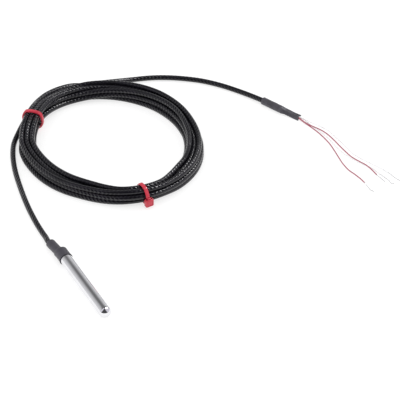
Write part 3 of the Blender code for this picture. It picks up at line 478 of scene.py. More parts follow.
def tube_mesh(name, points, radius):
    """A tube along the points in millimetres, with closed ends and its length as a texture axis."""
    sides = TUBE_SIDES
    ahead, side, up = frames_along(points)
    turns = np.linspace(0, 2 * math.pi, sides, endpoint=False)
    ring = np.cos(turns)[None, :, None] * side[:, None, :] + np.sin(turns)[None, :, None] * up[:, None, :]
    verts = (points[:, None, :] + ring * radius).reshape(-1, 3)
    count = len(points)
    faces = []
    for row in range(count - 1):
        base = row * sides
        for column in range(sides):
            after = (column + 1) % sides
            faces.append((base + column, base + after, base + sides + after, base + sides + column))
    start, end = len(verts), len(verts) + 1
    verts = np.concatenate((verts, points[:1] - ahead[:1] * 0.02, points[-1:] + ahead[-1:] * 0.02))
    for column in range(sides):
        after = (column + 1) % sides
        faces.append((start, after, column))
        faces.append((end, (count - 1) * sides + column, (count - 1) * sides + after))
    mesh = bpy.data.meshes.new(name)
    mesh.from_pydata((verts * MM).tolist(), [], faces)
    along = np.concatenate(((0.0,), np.cumsum(np.linalg.norm(np.diff(points, axis=0), axis=1))))
    layer = mesh.uv_layers.new(name="along")
    coordinates = []
    for row in range(count - 1):
        for column in range(sides):
            left, right = column / sides, (column + 1) / sides
            low, high = along[row], along[row + 1]
            coordinates += [(left, low), (right, low), (right, high), (left, high)]
    for column in range(sides):
        coordinates += [(0.5, along[0])] * 3 + [(0.5, along[-1])] * 3
    layer.data.foreach_set("uv", np.array(coordinates, float).ravel())
    mesh.shade_smooth()
    made = bpy.data.objects.new(name, mesh)
    bpy.context.scene.collection.objects.link(made)
    return made


def add_mesh(name, verts, faces, sharp):
    """A smooth-shaded mesh from points in millimetres, with edges sharp beyond an angle in degrees."""
    shape = bmesh.new()
    placed = [shape.verts.new(place) for place in (np.asarray(verts) * MM).tolist()]
    for face in faces:
        shape.faces.new([placed[index] for index in face])
    bmesh.ops.recalc_face_normals(shape, faces=shape.faces)
    mesh = bpy.data.meshes.new(name)
    shape.to_mesh(mesh)
    shape.free()
    mesh.shade_smooth()
    mesh.set_sharp_from_angle(angle=math.radians(sharp))
    made = bpy.data.objects.new(name, mesh)
    bpy.context.scene.collection.objects.link(made)
    return made


def ring_mesh(rings, closed=False, start=0):
    """Points and faces of rings of equal count joined one to the next."""
    sides = len(rings[0])
    faces = []
    pairs = list(zip(range(len(rings)), range(1, len(rings))))
    if closed:
        pairs.append((len(rings) - 1, 0))
    for first, second in pairs:
        here, there = start + first * sides, start + second * sides
        for side in range(sides):
            after = (side + 1) % sides
            faces.append((here + side, here + after, there + after, there + side))
    return np.concatenate(rings), faces


def lip_rings(outer, inner, ahead, bulge):
    """Rings that round the edge between an outer and an inner ring, bulging ahead."""
    rings = []
    for share in (0.12, 0.35, 0.65, 0.88):
        height = bulge * math.sin(math.pi * share)
        rings.append(outer * (1 - share) + inner * share + ahead * height)
    return rings


def unit_circle(sides):
    turns = np.linspace(0, 2 * math.pi, sides, endpoint=False)
    return np.stack((np.cos(turns), np.sin(turns)), axis=1)


# The head


def head_point(x, y, z):
    """World place of a point in the head's own axis, in millimetres."""
    level = math.sqrt(1 - HEAD_RISE**2)
    x, y, z = np.broadcast_arrays(x, y, z)
    return np.stack((x, y * HEAD_RISE + z * level, z * HEAD_RISE - y * level), axis=-1) + HEAD_AT


def make_sheath():
    """The drawn tube with its domed end. A faint edge shows where the dome was struck."""
    circle = unit_circle(144)
    crease = math.radians(9.0)
    dome = SHEATH_RADIUS / math.cos(crease)
    profile = []
    for angle in np.linspace(0.02, math.pi / 2, 14):
        profile.append((SHEATH_BORE * math.sin(angle), SHEATH_TIP + SHEATH_BORE * (1 - math.cos(angle))))
    profile += [(SHEATH_BORE, 25.0), (SHEATH_BORE, SHEATH_LENGTH)]
    profile += [(SHEATH_RADIUS - 0.15, SHEATH_LENGTH), (SHEATH_RADIUS - 0.04, SHEATH_LENGTH - 0.05)]
    profile += [(SHEATH_RADIUS, SHEATH_LENGTH - 0.15), (SHEATH_RADIUS, SHEATH_LENGTH - 1.0)]
    edge = dome * (1 - math.sin(crease))
    for z in np.linspace(SHEATH_LENGTH - 3.0, edge + 0.25, 30):
        profile.append((SHEATH_RADIUS, z))
    for angle in np.linspace(crease + math.radians(3.0), math.radians(89.3), 30):
        profile.append((dome * math.cos(angle), dome * (1 - math.sin(angle))))
    rings = []
    for radius, z in profile:
        rings.append(head_point(circle[:, 0] * radius, circle[:, 1] * radius, z))
    verts, faces = ring_mesh(rings)
    sides = len(circle)
    inner_tip, outer_tip = len(verts), len(verts) + 1
    tips = [head_point(0.0, 0.0, SHEATH_TIP), head_point(0.0, 0.0, 0.0)]
    verts = np.concatenate((verts, tips))
    last = (len(rings) - 1) * sides
    for side in range(sides):
        after = (side + 1) % sides
        faces.append((inner_tip, side, after))
        faces.append((outer_tip, last + side, last + after))
    return add_mesh("sheath_fine", verts, faces, sharp=40)


# Radius of the head's sleeve along it, outside and inside
SLEEVE_OUTSIDE = (
    (44.1, 3.36), (44.45, 3.34), (45.2, 3.26), (46.2, 3.22),
    (48.4, 3.22), (49.6, 3.22), (50.0, 3.20), (50.25, 3.08),
    (50.5, 2.80), (50.75, 2.52), (51.05, 2.42), (51.8, 2.35),
    (54.0, 2.33), (57.0, 2.34), (58.8, 2.34), (59.4, 2.28),
)
SLEEVE_INSIDE = (
    (44.1, 3.18), (45.2, 3.06), (46.2, 3.03), (50.05, 3.03),
    (50.5, 2.50), (51.0, 1.8), (52.0, 1.46), (57.0, 1.46),
    (59.4, 1.58),
)


def sleeve_centre(z):
    step = eased((z - SLEEVE_STEP_FROM) / SLEEVE_STEP_OVER)
    bent = np.maximum(0.0, (z - SLEEVE_BEND_FROM) / (SLEEVE_END - SLEEVE_BEND_FROM))
    return SLEEVE_STEP[0] * step + SLEEVE_BEND[0] * bent, SLEEVE_STEP[1] * step + SLEEVE_BEND[1] * bent


def soft_table(table, at):
    """A smooth curve through a table's points, without overshoot."""
    table = np.array(table)
    knots, values = table[:, 0], table[:, 1]
    slopes = np.gradient(values, knots)
    steps = np.diff(values) / np.diff(knots)
    for index in range(1, len(values) - 1):
        if steps[index - 1] * steps[index] <= 0:
            slopes[index] = 0.0
        else:
            slopes[index] = 2 * steps[index - 1] * steps[index] / (steps[index - 1] + steps[index])
    place = np.clip(np.searchsorted(knots, at) - 1, 0, len(knots) - 2)
    width = knots[place + 1] - knots[place]
    t = np.clip((at - knots[place]) / width, 0.0, 1.0)
    return cubic(t, width, values[place], values[place + 1], slopes[place], slopes[place + 1])


def make_probe_sleeve():
    """Shrunk tube: smooth over the sheath, drawn in over its end, slightly uneven on the cable."""
    circle = unit_circle(96)
    turns = np.arctan2(circle[:, 1], circle[:, 0])
    spans = ((SLEEVE_MOUTH, 49.4, 14), (49.6, 52.2, 27), (52.5, SLEEVE_END, 24))
    heights = np.concatenate([np.linspace(*span) for span in spans])
    outer_rings, inner_rings = [], []
    for z in heights:
        x, y = sleeve_centre(z)
        # The shoulder lies a little further back below and on the cable's side
        back = 0.18 * (1 - np.cos(turns - math.radians(-25.0)))
        shoulder = float(eased((z - 49.2) / 1.2) * eased((53.5 - z) / 1.6))
        outer = soft_table(SLEEVE_OUTSIDE, np.full(len(circle), z) - back * shoulder)
        dents = 0.018 * np.sin(3 * turns + z * 1.1) + 0.012 * np.sin(5 * turns - z * 2.3)
        outer = outer + dents * float(eased((z - 51.0) / 1.5))
        inner = np.minimum(soft_table(SLEEVE_INSIDE, np.full(len(circle), z)), outer - 0.18)
        outer_rings.append(head_point(x + circle[:, 0] * outer, y + circle[:, 1] * outer, z))
        inner_rings.append(head_point(x + circle[:, 0] * inner, y + circle[:, 1] * inner, z))
    ahead = head_point(0.0, 0.0, 1.0) - head_point(0.0, 0.0, 0.0)
    rings = outer_rings + lip_rings(outer_rings[-1], inner_rings[-1], ahead, 0.12)
    rings += inner_rings[::-1] + lip_rings(inner_rings[0], outer_rings[0], -ahead, 0.07)
    verts, faces = ring_mesh(rings, closed=True)
    return add_mesh("probe_sleeve_fine", verts, faces, sharp=60)


# The tail sleeve and the wires


def make_tail_sleeve():
    """Shrunk tube: round over the cable's end, pinched into two fins beside the wires."""
    circle = unit_circle(96)
    turns = np.arctan2(circle[:, 1], circle[:, 0])
    half_square = WIRE_SQUARE + WIRE / 2 + 0.1
    half_core = half_square + 0.2
    half_width = TAIL_FLAT_WIDTH / 2
    swell = np.exp(-((circle[:, 0] * half_width / (half_core * 0.72)) ** 2))
    flat = np.stack(
        (circle[:, 0] * half_width, circle[:, 1] * (TAIL_FIN / 2 + (half_core - TAIL_FIN / 2) * swell)),
        axis=1,
    )
    reach = (circle[:, 0] ** 4 + circle[:, 1] ** 4) ** 0.25
    square = circle / reach[:, None] * half_square
    outer_rings, inner_rings = [], []
    spans = ((0.0, 11.0, 24), (11.4, 16.4, 24), (16.8, TAIL_LENGTH, 26))
    for along in np.concatenate([np.linspace(*span) for span in spans]):
        share = float(eased((along - TAIL_ROUND) / TAIL_TAPER))
        centre, across, up = tail_frame(along)
        step = tail_frame(min(along + 0.1, TAIL_LENGTH))[0] - tail_frame(max(along - 0.1, 0.0))[0]
        ahead = step / np.linalg.norm(step)
        dents = 0.02 * np.sin(2 * turns + along * 0.9) + 0.015 * np.sin(5 * turns - along * 1.7)
        round_part = circle * (TAIL_OUTER - 0.02 + dents * 0.8)[:, None]
        pinched = flat * (1 + dents * 0.6)[:, None]
        outer = round_part * (1 - share) + pinched * share
        inner = circle * TAIL_BORE * (1 - share) + square * share
        # A dent where the round part ends, and fins that reach past the wires at the front
        dent = math.exp(-(((along - 13.6) / 1.3) ** 2)) * 0.16
        outer[:, 1] -= dent * np.clip(circle[:, 1], 0, 1) ** 2
        flared = 0.55 * float(eased((along - 21.0) / 2.5))
        past = flared * ((outer[:, 0] / half_width) ** 2 - 0.6)
        past_in = flared * ((inner[:, 0] / half_width) ** 2 - 0.6)
        outer_rings.append(centre + outer[:, :1] * across + outer[:, 1:] * up + past[:, None] * ahead)
        inner_rings.append(centre + inner[:, :1] * across + inner[:, 1:] * up + past_in[:, None] * ahead)
    first = tail_frame(0.2)[0] - tail_frame(0.0)[0]
    last = tail_frame(TAIL_LENGTH)[0] - tail_frame(TAIL_LENGTH - 0.2)[0]
    first, last = first / np.linalg.norm(first), last / np.linalg.norm(last)
    rings = outer_rings + lip_rings(outer_rings[-1], inner_rings[-1], last, 0.06)
    rings += inner_rings[::-1] + lip_rings(inner_rings[0], outer_rings[0], -first, 0.10)
    verts, faces = ring_mesh(rings, closed=True)
    return add_mesh("tail_sleeve_fine", verts, faces, sharp=60)


def wire_path(name, side, row):
    """A wire's line from the cable's end to its bare tip, and where its insulation stops."""
    insulated, stripped = WIRE_ROUTES[name]
    front = tail_frame(TAIL_LENGTH)[0].copy()
    front[2] = 0.0
    points = []
    for along in np.linspace(10.3, TAIL_LENGTH, 6):
        centre, across, up = tail_frame(float(along))
        points.append(centre + across * side * WIRE_SQUARE + up * row * WIRE_SQUARE)
    points += [front + np.array(place) for place in insulated]
    covered = smooth_line(np.array(points), WIRE_SPACING)
    bare = smooth_line(np.array(points[-2:] + [front + np.array(place) for place in stripped]), 0.2)
    start = int(np.argmin(np.linalg.norm(bare - points[-1], axis=1)))
    return covered, bare[start:]


def make_bare_end(name, points):
    """Seven fine strands twisted together, slightly open at the tip."""
    ahead, side, up = frames_along(points)
    along = np.concatenate(((0.0,), np.cumsum(np.linalg.norm(np.diff(points, axis=0), axis=1))))
    open_up = 1 + 0.35 * eased((along - along[-1] + 1.6) / 1.6)
    verts, faces = [], []
    circle = unit_circle(6)
    start = 0
    for strand in range(7):
        if strand == 0:
            middle = points
        else:
            turn = strand * math.pi / 3 + along * (2 * math.pi / 2.6)
            offset = np.cos(turn)[:, None] * side + np.sin(turn)[:, None] * up
            middle = points + offset * (2 * STRAND_RADIUS * open_up)[:, None]
        rings = []
        for centre, aside, above in zip(middle, side, up):
            rings.append(centre + (circle[:, :1] * aside + circle[:, 1:] * above) * STRAND_RADIUS)
        strand_verts, strand_faces = ring_mesh(rings, start=start)
        verts.append(strand_verts)
        faces += strand_faces
        last = start + (len(rings) - 1) * 6
        faces.append(tuple(start + k for k in range(6)))
        faces.append(tuple(last + k for k in range(6)))
        start += len(strand_verts)
    return add_mesh(name, np.concatenate(verts), faces, sharp=60)


# The ties


def tie_axes(index):
    """A tie's place on the bundle's middle line, and its directions along, outward and up."""
    angle, skew = TIE_ANGLES[index], TIE_SKEWS[index]
    zero = np.array(0.0)
    step = on_coil(angle + 0.01, 0.0, zero) - on_coil(angle - 0.01, 0.0, zero)
    step /= np.linalg.norm(step)
    along = np.array(
        (
            step[0] * math.cos(skew) - step[1] * math.sin(skew),
            step[0] * math.sin(skew) + step[1] * math.cos(skew),
            0.0,
        )
    )
    up = np.array((0.0, 0.0, 1.0))
    return on_coil(angle, 0.0, zero) - along * TIE_SLIDES[index], along, np.cross(along, up), up


def strand_crossings(points, index):
    """Where the cable passes through a tie's plane, as outward and up."""
    centre, along, outward, up = tie_axes(index)
    relative = points - centre
    beyond = relative @ along
    places = []
    for at in np.flatnonzero(beyond[:-1] * beyond[1:] < 0):
        share = beyond[at] / (beyond[at] - beyond[at + 1])
        place = relative[at] + (relative[at + 1] - relative[at]) * share
        if abs(place @ outward) < 12.0:
            places.append((place @ outward, place @ up))
    return np.array(places)


def rounded_box(width, height, corner, steps=4):
    outline = []
    for turn, (side_x, side_y) in enumerate(((1, 1), (-1, 1), (-1, -1), (1, -1))):
        for angle in np.linspace(turn * math.pi / 2, (turn + 1) * math.pi / 2, steps + 1):
            x = side_x * (width / 2 - corner) + corner * math.cos(angle)
            y = side_y * (height / 2 - corner) + corner * math.sin(angle)
            outline.append((x, y))
    return np.array(outline)


def head_block(depth, length, width, stub):
    """A tie's head as points (outward, second, along) and faces.

    A rounded block, open at the second direction's end where the strap passes through it. The
    strap's cut end stands out there.
    """
    shape = bmesh.new()
    bmesh.ops.create_cube(shape, size=1.0)
    bmesh.ops.scale(shape, vec=(depth, length, width), verts=shape.verts)
    shape.faces.ensure_lookup_table()
    corners = list(shape.edges)
    front = max(shape.faces, key=lambda face: face.calc_center_median().x)
    opening = max(shape.faces, key=lambda face: face.calc_center_median().y)
    bmesh.ops.inset_individual(shape, faces=[opening], thickness=min(depth, width) * 0.24)
    bmesh.ops.inset_individual(shape, faces=[opening], thickness=0.12)
    for vert in opening.verts:
        vert.co.y -= 1.3
    bmesh.ops.inset_individual(shape, faces=[front], thickness=1.0)
    bmesh.ops.inset_individual(shape, faces=[front], thickness=0.25)
    for vert in front.verts:
        vert.co.x -= 0.22
    bmesh.ops.bevel(shape, geom=corners, offset=0.8, segments=5, profile=0.5, affect="EDGES")
    if stub:
        made = bmesh.ops.create_cube(shape, size=1.0)
        bmesh.ops.scale(shape, vec=(0.9, 1.9, 1.75), verts=made["verts"])
        bmesh.ops.translate(shape, vec=(0.0, length / 2 - 0.45, 0.0), verts=made["verts"])
        edges = list({edge for vert in made["verts"] for edge in vert.link_edges})
        bmesh.ops.bevel(shape, geom=edges, offset=0.1, segments=2, profile=0.5, affect="EDGES")
    shape.verts.index_update()
    verts = np.array([tuple(vert.co) for vert in shape.verts])
    faces = [tuple(vert.index for vert in face.verts) for face in shape.faces]
    shape.free()
    return verts, faces


def make_tie(index, points):
    """A strap drawn tight round the strands that cross it, with its head moulded on."""
    centre, along, outward, up = tie_axes(index)
    places = strand_crossings(points, index)
    rays = unit_circle(180)
    # The strap is stiff, so it spans the strands in a rounder line than theirs
    reach = (places @ rays.T).max(axis=0)
    for _ in range(14):
        reach = np.maximum(reach, (np.roll(reach, 3) + np.roll(reach, -3)) / 2 * 0.9992)
    slope = (np.roll(reach, -1) - np.roll(reach, 1)) / (2 * 2 * math.pi / len(rays))
    core = reach[:, None] * rays + slope[:, None] * np.stack((-rays[:, 1], rays[:, 0]), axis=1)
    band = rounded_box(TIE_WIDTH, TIE_THICKNESS, 0.28)
    middle = TIE_THICKNESS / 2
    rings = []
    for (u, z), (ray_u, ray_z) in zip(core, rays):
        distance = CABLE / 2 + TIE_CLEARANCE + middle + band[:, 1:]
        # The table keeps the strap flat where it is lowest
        height = np.maximum(z + distance * ray_z, middle + 0.02 - band[:, 1:])
        rings.append(centre + (u + distance * ray_u) * outward + height * up + band[:, :1] * along)
    verts, faces = ring_mesh(rings, closed=True)
    if index == 0:
        # Below the bundle, standing on the table
        depth = float(places[:, 1].min()) - CABLE / 2 - TIE_HEAD_GAP
        place = centre + float(places[:, 0].mean()) * 0.5 * outward + up * (depth / 2)
        axes = (-up, outward, along)
    else:
        side = float(places[:, 0].max()) + CABLE / 2 + TIE_HEAD_GAP
        depth = max(TIE_HEAD_FACE - side, TIE_HEAD_LEAST)
        place = centre + (side + depth / 2) * outward + up * (TIE_HEAD_FOOT + TIE_HEAD_LENGTH / 2)
        axes = (outward, up, along)
    block, block_faces = head_block(depth, TIE_HEAD_LENGTH, TIE_HEAD_BREADTH, stub=index == 1)
    placed = place + block[:, :1] * axes[0] + block[:, 1:2] * axes[1] + block[:, 2:] * axes[2]
    faces = faces + [tuple(len(verts) + k for k in face) for face in block_faces]
    return add_mesh(f"tie_{index + 1}_fine", np.concatenate((verts, placed)), faces, sharp=50)


# Materials


class Nodes:
    """Short calls for building one material's node tree."""

    def __init__(self, name):
        self.material = bpy.data.materials.new(name)
        self.material.use_nodes = True
        self.tree = self.material.node_tree
        self.shader = self.tree.nodes["Principled BSDF"]

    def add(self, kind, **values):
        node = self.tree.nodes.new(kind)
        for key, value in values.items():
            setattr(node, key, value)
        return node

    def link(self, source, target):
        self.tree.links.new(source, target)

    def math(self, operation, first, second=None, third=None, clamp=False):
        node = self.add("ShaderNodeMath", operation=operation, use_clamp=clamp)
        for socket, value in zip(node.inputs, (first, second, third)):
            if value is None:
                continue
            if isinstance(value, (int, float)):
                socket.default_value = value
            else:
                self.link(value, socket)
        return node.outputs[0]

    def ramp(self, source, stops):
        node = self.add("ShaderNodeValToRGB")
        elements = node.color_ramp.elements
        while len(elements) < len(stops):
            elements.new(0.5)
        for element, (position, color) in zip(elements, stops):
            element.position = position
            element.color = (*color, 1.0)
        self.link(source, node.inputs["Fac"])
        return node.outputs["Color"]

    def noise(self, scale, detail=3.0, vector=None, roughness=0.5):
        node = self.add("ShaderNodeTexNoise")
        node.inputs["Scale"].default_value = scale
        node.inputs["Detail"].default_value = detail
        node.inputs["Roughness"].default_value = roughness
        if vector is not None:
            self.link(vector, node.inputs["Vector"])
        return node.outputs["Fac"]

    def object_coordinates(self):
        return self.add("ShaderNodeTexCoord").outputs["Object"]

    def bump(self, height, distance, strength=1.0, onto=None):
        node = self.add("ShaderNodeBump")
        node.inputs["Distance"].default_value = distance
        node.inputs["Strength"].default_value = strength
        self.link(height, node.inputs["Height"])
        if onto is not None:
            self.link(onto, node.inputs["Normal"])
        return node.outputs["Normal"]

    def set(self, **values):
        for key, value in values.items():
            socket = self.shader.inputs[key.replace("_", " ")]
            if isinstance(value, (int, float)):
                socket.default_value = value
            elif isinstance(value, tuple):
                socket.default_value = (*value, 1.0)
            else:
                self.link(value, socket)
        return self


def cable_material():
    """A thin glossy black jacket drawn over twisted wires and their braid.

    The wires' lay shows as slanting lobes, stronger in some stretches, and the braid as a fine weave.
    """
    n = Nodes("black_jacket")
    uv = n.add("ShaderNodeUVMap", uv_map="along").outputs["UV"]
    split = n.add("ShaderNodeSeparateXYZ")
    n.link(uv, split.inputs[0])
    around, along = split.outputs["X"], split.outputs["Y"]
    turns = n.math("MULTIPLY", around, 4.0)
    lay = n.math("DIVIDE", along, 2.05)
    phase = n.math("MULTIPLY", n.math("ADD", turns, lay), 2 * math.pi)
    lobes = n.math("SINE", phase)
    patchy = n.noise(0.035, 2.0, along_vector(n, along))
    patchy = n.math("MULTIPLY_ADD", n.math("SUBTRACT", patchy, 0.38), 3.0, 0.25, clamp=True)
    lobes = n.math("MULTIPLY", lobes, patchy)
    across = n.math("MULTIPLY", around, 8.0)
    pitch = n.math("DIVIDE", along, 0.9)
    weave_a = n.math("SINE", n.math("MULTIPLY", n.math("ADD", across, pitch), 2 * math.pi))
    weave_b = n.math("SINE", n.math("MULTIPLY", n.math("SUBTRACT", across, pitch), 2 * math.pi))
    weave = n.math("MULTIPLY", weave_a, weave_b)
    first = n.bump(lobes, 0.00011)
    second = n.bump(weave, 0.000012, onto=first)
    drift = n.noise(420.0, 3.0, n.object_coordinates())
    third = n.bump(drift, 0.00003, onto=second)
    clouds = n.noise(160.0, 2.0, n.object_coordinates())
    tone = n.ramp(clouds, ((0.3, (0.0030, 0.0028, 0.0042)), (0.7, (0.0070, 0.0064, 0.0100))))
    rough = n.math("MULTIPLY_ADD", n.noise(90.0, 3.0, n.object_coordinates()), 0.14, 0.05)
    n.set(Base_Color=tone, Roughness=rough, Normal=third, Specular_IOR_Level=0.45)
    return n.material


def along_vector(n, along):
    node = n.add("ShaderNodeCombineXYZ")
    n.link(along, node.inputs[0])
    return node.outputs[0]


def plastic(name, color, roughness, bump=0.00002, scale=900.0, variation=0.15):
    """A moulded or shrunk plastic: faint mottling in colour, gloss and surface."""
    n = Nodes(name)
    place = n.object_coordinates()
    mottled = n.noise(scale * 0.3, 4.0, place)
    darker = tuple(c * (1 - variation) for c in color)
    lighter = tuple(min(c * (1 + variation), 1.0) for c in color)
    tone = n.ramp(mottled, ((0.3, darker), (0.7, lighter)))
    rough = n.math("MULTIPLY_ADD", n.noise(scale * 0.6, 3.0, place), 0.16, roughness - 0.08)
    normal = n.bump(n.noise(scale, 4.0, place), bump)
    n.set(Base_Color=tone, Roughness=rough, Normal=normal, Specular_IOR_Level=0.5)
    return n.material


def polished_steel():
    """Drawn and polished tube: fine lines along it and slight clouding."""
    n = Nodes("polished_steel")
    place = n.object_coordinates()
    stretch = n.add("ShaderNodeMapping")
    stretch.inputs["Scale"].default_value = (1.0, 0.012, 1.0)
    n.link(place, stretch.inputs["Vector"])
    drawn = n.noise(5200.0, 3.0, stretch.outputs["Vector"])
    cloud = n.noise(240.0, 3.0, place)
    rough = n.math("ADD", n.math("MULTIPLY_ADD", cloud, 0.04, 0.05), n.math("MULTIPLY", drawn, 0.04))
    normal = n.bump(drawn, 0.0000012)
    tone = n.ramp(cloud, ((0.3, (0.78, 0.78, 0.80)), (0.7, (0.84, 0.84, 0.86))))
    n.set(Base_Color=tone, Metallic=1.0, Roughness=rough, Normal=normal)
    return n.material


def metal(name, color, roughness):
    n = Nodes(name)
    place = n.object_coordinates()
    fine = n.noise(2500.0, 3.0, place)
    rough = n.math("MULTIPLY_ADD", fine, 0.15, roughness - 0.07)
    normal = n.bump(fine, 0.000004)
    tone = n.ramp(fine, ((0.3, tuple(c * 0.9 for c in color)), (0.7, color)))
    n.set(Base_Color=tone, Metallic=1.0, Roughness=rough, Normal=normal)
    return n.material


def wire_material(name, color, roughness=0.32):
    n = Nodes(name)
    place = n.object_coordinates()
    tone = n.ramp(n.noise(500.0, 3.0, place), ((0.3, tuple(c * 0.88 for c in color)), (0.7, color)))
    normal = n.bump(n.noise(1600.0, 3.0, place), 0.00001)
    rough = n.math("MULTIPLY_ADD", n.noise(300.0, 2.0, place), 0.12, roughness - 0.06)
    n.set(Base_Color=tone, Roughness=rough, Normal=normal)
    return n.material


jacket = cable_material()
steel = polished_steel()
head_sleeve_grey = plastic("shrink_grey", (0.050, 0.047, 0.060), 0.42, bump=0.00003)
tail_sleeve_grey = plastic(
    "tail_shrink_grey", (0.066, 0.062, 0.077), 0.50, bump=0.00006, scale=700.0, variation=0.4
)
tie_red = plastic("tie_nylon", (0.50, 0.032, 0.055), 0.20, bump=0.000015, scale=600.0)
red_wire = wire_material("red_insulation_fine", (0.42, 0.115, 0.16))
white_wire = wire_material("white_insulation_fine", (0.88, 0.88, 0.89))
tinned = metal("tinned_strands", (0.86, 0.86, 0.87), 0.42)

# Inner pieces keep their shapes and get a finer surface
INNER = {
    "cement_bed": plastic("cast_cement", (0.78, 0.76, 0.72), 0.85, bump=0.00006),
    "element_chip": plastic("fired_alumina", (0.88, 0.87, 0.84), 0.6),
    "element_glaze": plastic("fused_glaze", (0.45, 0.52, 0.6), 0.15),
    "epoxy_seal": plastic("cast_epoxy", (0.06, 0.06, 0.07), 0.35),
    "cable_jacket_end": jacket,
    "cable_screen_end": metal("braid_end", (0.62, 0.62, 0.64), 0.35),
    "element_wire_1": metal("element_lead", (0.65, 0.63, 0.6), 0.25),
    "element_wire_2": metal("element_lead_2", (0.65, 0.63, 0.6), 0.25),
    "crimp_1": metal("crimp_barrel", (0.62, 0.6, 0.58), 0.3),
    "crimp_2": metal("crimp_barrel_2", (0.62, 0.6, 0.58), 0.3),
    "crimp_tube_1": plastic("shrink_clear", (0.8, 0.78, 0.7), 0.3),
    "crimp_tube_2": plastic("shrink_clear_2", (0.8, 0.78, 0.7), 0.3),
    "inner_wire_red_1": red_wire,
    "inner_wire_red_2": red_wire,
    "inner_wire_white_1": white_wire,
    "inner_wire_white_2": white_wire,
}
for node, made in INNER.items():
    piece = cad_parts[node]
    for slot in piece.material_slots:
        slot.material = made


# The pieces


def dress(piece, material, slot, *nodes):
    """Puts a piece in the place of the part's own nodes, with its material."""
    piece.data.materials.append(material)
    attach(piece, "root")
    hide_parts(*nodes)
    return piece


path = cable_path()
cable = tube_mesh("cable", path, CABLE / 2)
dress(cable, jacket, "jacket_black", "cable_probe_run", "cable_coil", "cable_tail_run")
dress(make_sheath(), steel, "stainless_steel", "sheath")
dress(make_probe_sleeve(), head_sleeve_grey, "sleeve_grey", "probe_sleeve")
tail_sleeve = dress(make_tail_sleeve(), tail_sleeve_grey, "tail_sleeve_grey", "tail_sleeve")
ties = [dress(make_tie(index, path), tie_red, "tie_red", f"tie_{index + 1}") for index in (0, 1)]

for wire, side, row, shade, slot in (
    ("red_1", -1, -1, red_wire, "red_insulation"),
    ("red_2", -1, 1, red_wire, "red_insulation"),
    ("white_1", 1, 1, white_wire, "white_insulation"),
    ("white_2", 1, -1, white_wire, "white_insulation"),
):
    covered, stripped = wire_path(wire, side, row)
    lead = dress(tube_mesh("wire_" + wire, covered, WIRE / 2), shade, slot, "lead_" + wire)
    tip = dress(make_bare_end("strands_" + wire, stripped), tinned, "tinned_copper", "bare_end_" + wire)
    front = covered[int(np.argmin(np.linalg.norm(covered - tail_frame(TAIL_LENGTH)[0], axis=1)))]


# The photograph's camera


def place_camera():
    target = Vector((0.07972, 0.02648, 0.0))
    azimuth, elevation = math.radians(-28.81), math.radians(39.0)
    back = Vector(
        (
            math.sin(azimuth) * math.cos(elevation),
            -math.cos(azimuth) * math.cos(elevation),
            math.sin(elevation),
        )
    )
    data = bpy.data.cameras.new("camera")
    data.sensor_width = 36.0
    data.lens = 162.0
    camera = bpy.data.objects.new("camera", data)
    camera.location = target + back * 0.90
    camera.rotation_euler = (-back).to_track_quat("-Z", "Y").to_euler()
    bpy.context.scene.collection.objects.link(camera)
    bpy.context.scene.camera = camera


place_camera()


# White table and light


def make_floor():
    mesh = bpy.data.meshes.new("table")
    reach = 3.0
    below = -0.00005
    corners = [(x * reach, y * reach, below) for x, y in ((-1, -1), (1, -1), (1, 1), (-1, 1))]
    mesh.from_pydata(corners, [], [(0, 1, 2, 3)])
    floor = bpy.data.objects.new("table", mesh)
    bpy.context.scene.collection.objects.link(floor)
    n = Nodes("white_table")
    n.set(Base_Color=(0.38, 0.38, 0.38), Roughness=0.9, Specular_IOR_Level=0.1)
    n.set(Emission_Color=(1.0, 1.0, 1.0), Emission_Strength=0.68)
    mesh.materials.append(n.material)


make_floor()


class RoomNodes(Nodes):
    """The same short calls for the world's node tree."""

    def __init__(self, world):
        world.use_nodes = True
        self.tree = world.node_tree
        self.shader = self.tree.nodes["Background"]

    def step(self, source, low, high):
        """0 below low, 1 above high, eased between."""
        node = self.add("ShaderNodeMapRange", interpolation_type="SMOOTHSTEP")
        node.inputs["From Min"].default_value = low
        node.inputs["From Max"].default_value = high
        self.link(source, node.inputs["Value"])
        return node.outputs["Result"]

    def mixed(self, share, first, second):
        node = self.add("ShaderNodeMixRGB")
        for socket, value in zip(node.inputs, (share, first, second)):
            if isinstance(value, tuple):
                socket.default_value = (*value, 1.0)
            else:
                self.link(value, socket)
        return node.outputs[0]


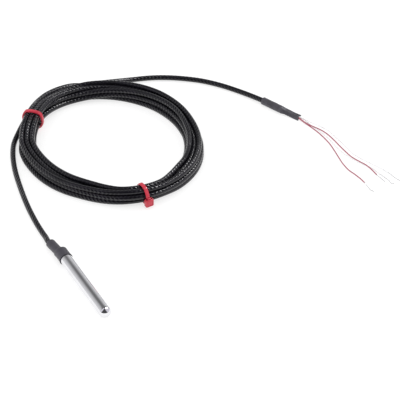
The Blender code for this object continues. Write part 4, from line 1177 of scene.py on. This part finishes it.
def make_world():
    """An even bright room for the table. What gloss mirrors is the studio round it.

    Behind the object the walls fade upwards to a dark edge. The camera's side is evenly grey
    but for a dark wedge round the camera.
    """
    world = bpy.data.worlds.new("room")
    bpy.context.scene.world = world
    n = RoomNodes(world)
    split = n.add("ShaderNodeSeparateXYZ")
    n.link(n.add("ShaderNodeTexCoord").outputs["Generated"], split.inputs[0])
    x, y, z = split.outputs["X"], split.outputs["Y"], split.outputs["Z"]

    low_wall = ((0.0, 0.78), (0.2, 0.74), (0.485, 0.60))
    high_wall = ((0.63, 0.42), (0.69, 0.30), (0.73, 0.18), (0.8, 0.16))
    behind = n.ramp(z, [(at, (grey, grey, grey * 1.02)) for at, grey in low_wall + high_wall])
    # The camera's side is dark in a wedge that narrows to the zenith
    rightward = n.math("SUBTRACT", n.math("MULTIPLY", x, 0.876), n.math("MULTIPLY", y, 0.482))
    aside = n.math("ABSOLUTE", rightward)
    limit = n.math("MULTIPLY", n.math("SQRT", n.math("SUBTRACT", 1.0, z)), 0.86)
    inside = n.step(n.math("SUBTRACT", aside, limit), -0.06, 0.06)
    near = n.mixed(inside, (0.055, 0.055, 0.06), (0.74, 0.72, 0.79))
    room = n.mixed(n.step(y, 0.10, 0.36), near, behind)
    rays = n.add("ShaderNodeLightPath")
    seen = n.mixed(rays.outputs["Is Glossy Ray"], (1.2, 1.2, 1.2), room)
    n.link(seen, n.shader.inputs["Color"])
    n.shader.inputs["Strength"].default_value = 1.0


make_world()


def softbox(name, location, target, width, height, power):
    """A lamp that gloss mirrors. The room alone lights the table."""
    data = bpy.data.lights.new(name, "AREA")
    data.shape = "RECTANGLE"
    data.size = width
    data.size_y = height
    data.energy = power
    light = bpy.data.objects.new(name, data)
    light.location = location
    direction = Vector(target) - Vector(location)
    light.rotation_euler = direction.to_track_quat("-Z", "Y").to_euler()
    light.visible_diffuse = False
    bpy.context.scene.collection.objects.link(light)


softbox("right_box", (0.74, 0.0, 0.98), (0.06, 0.04, 0.0), 0.28, 0.36, 8.0)

bpy.context.scene.view_settings.view_transform = "Standard"
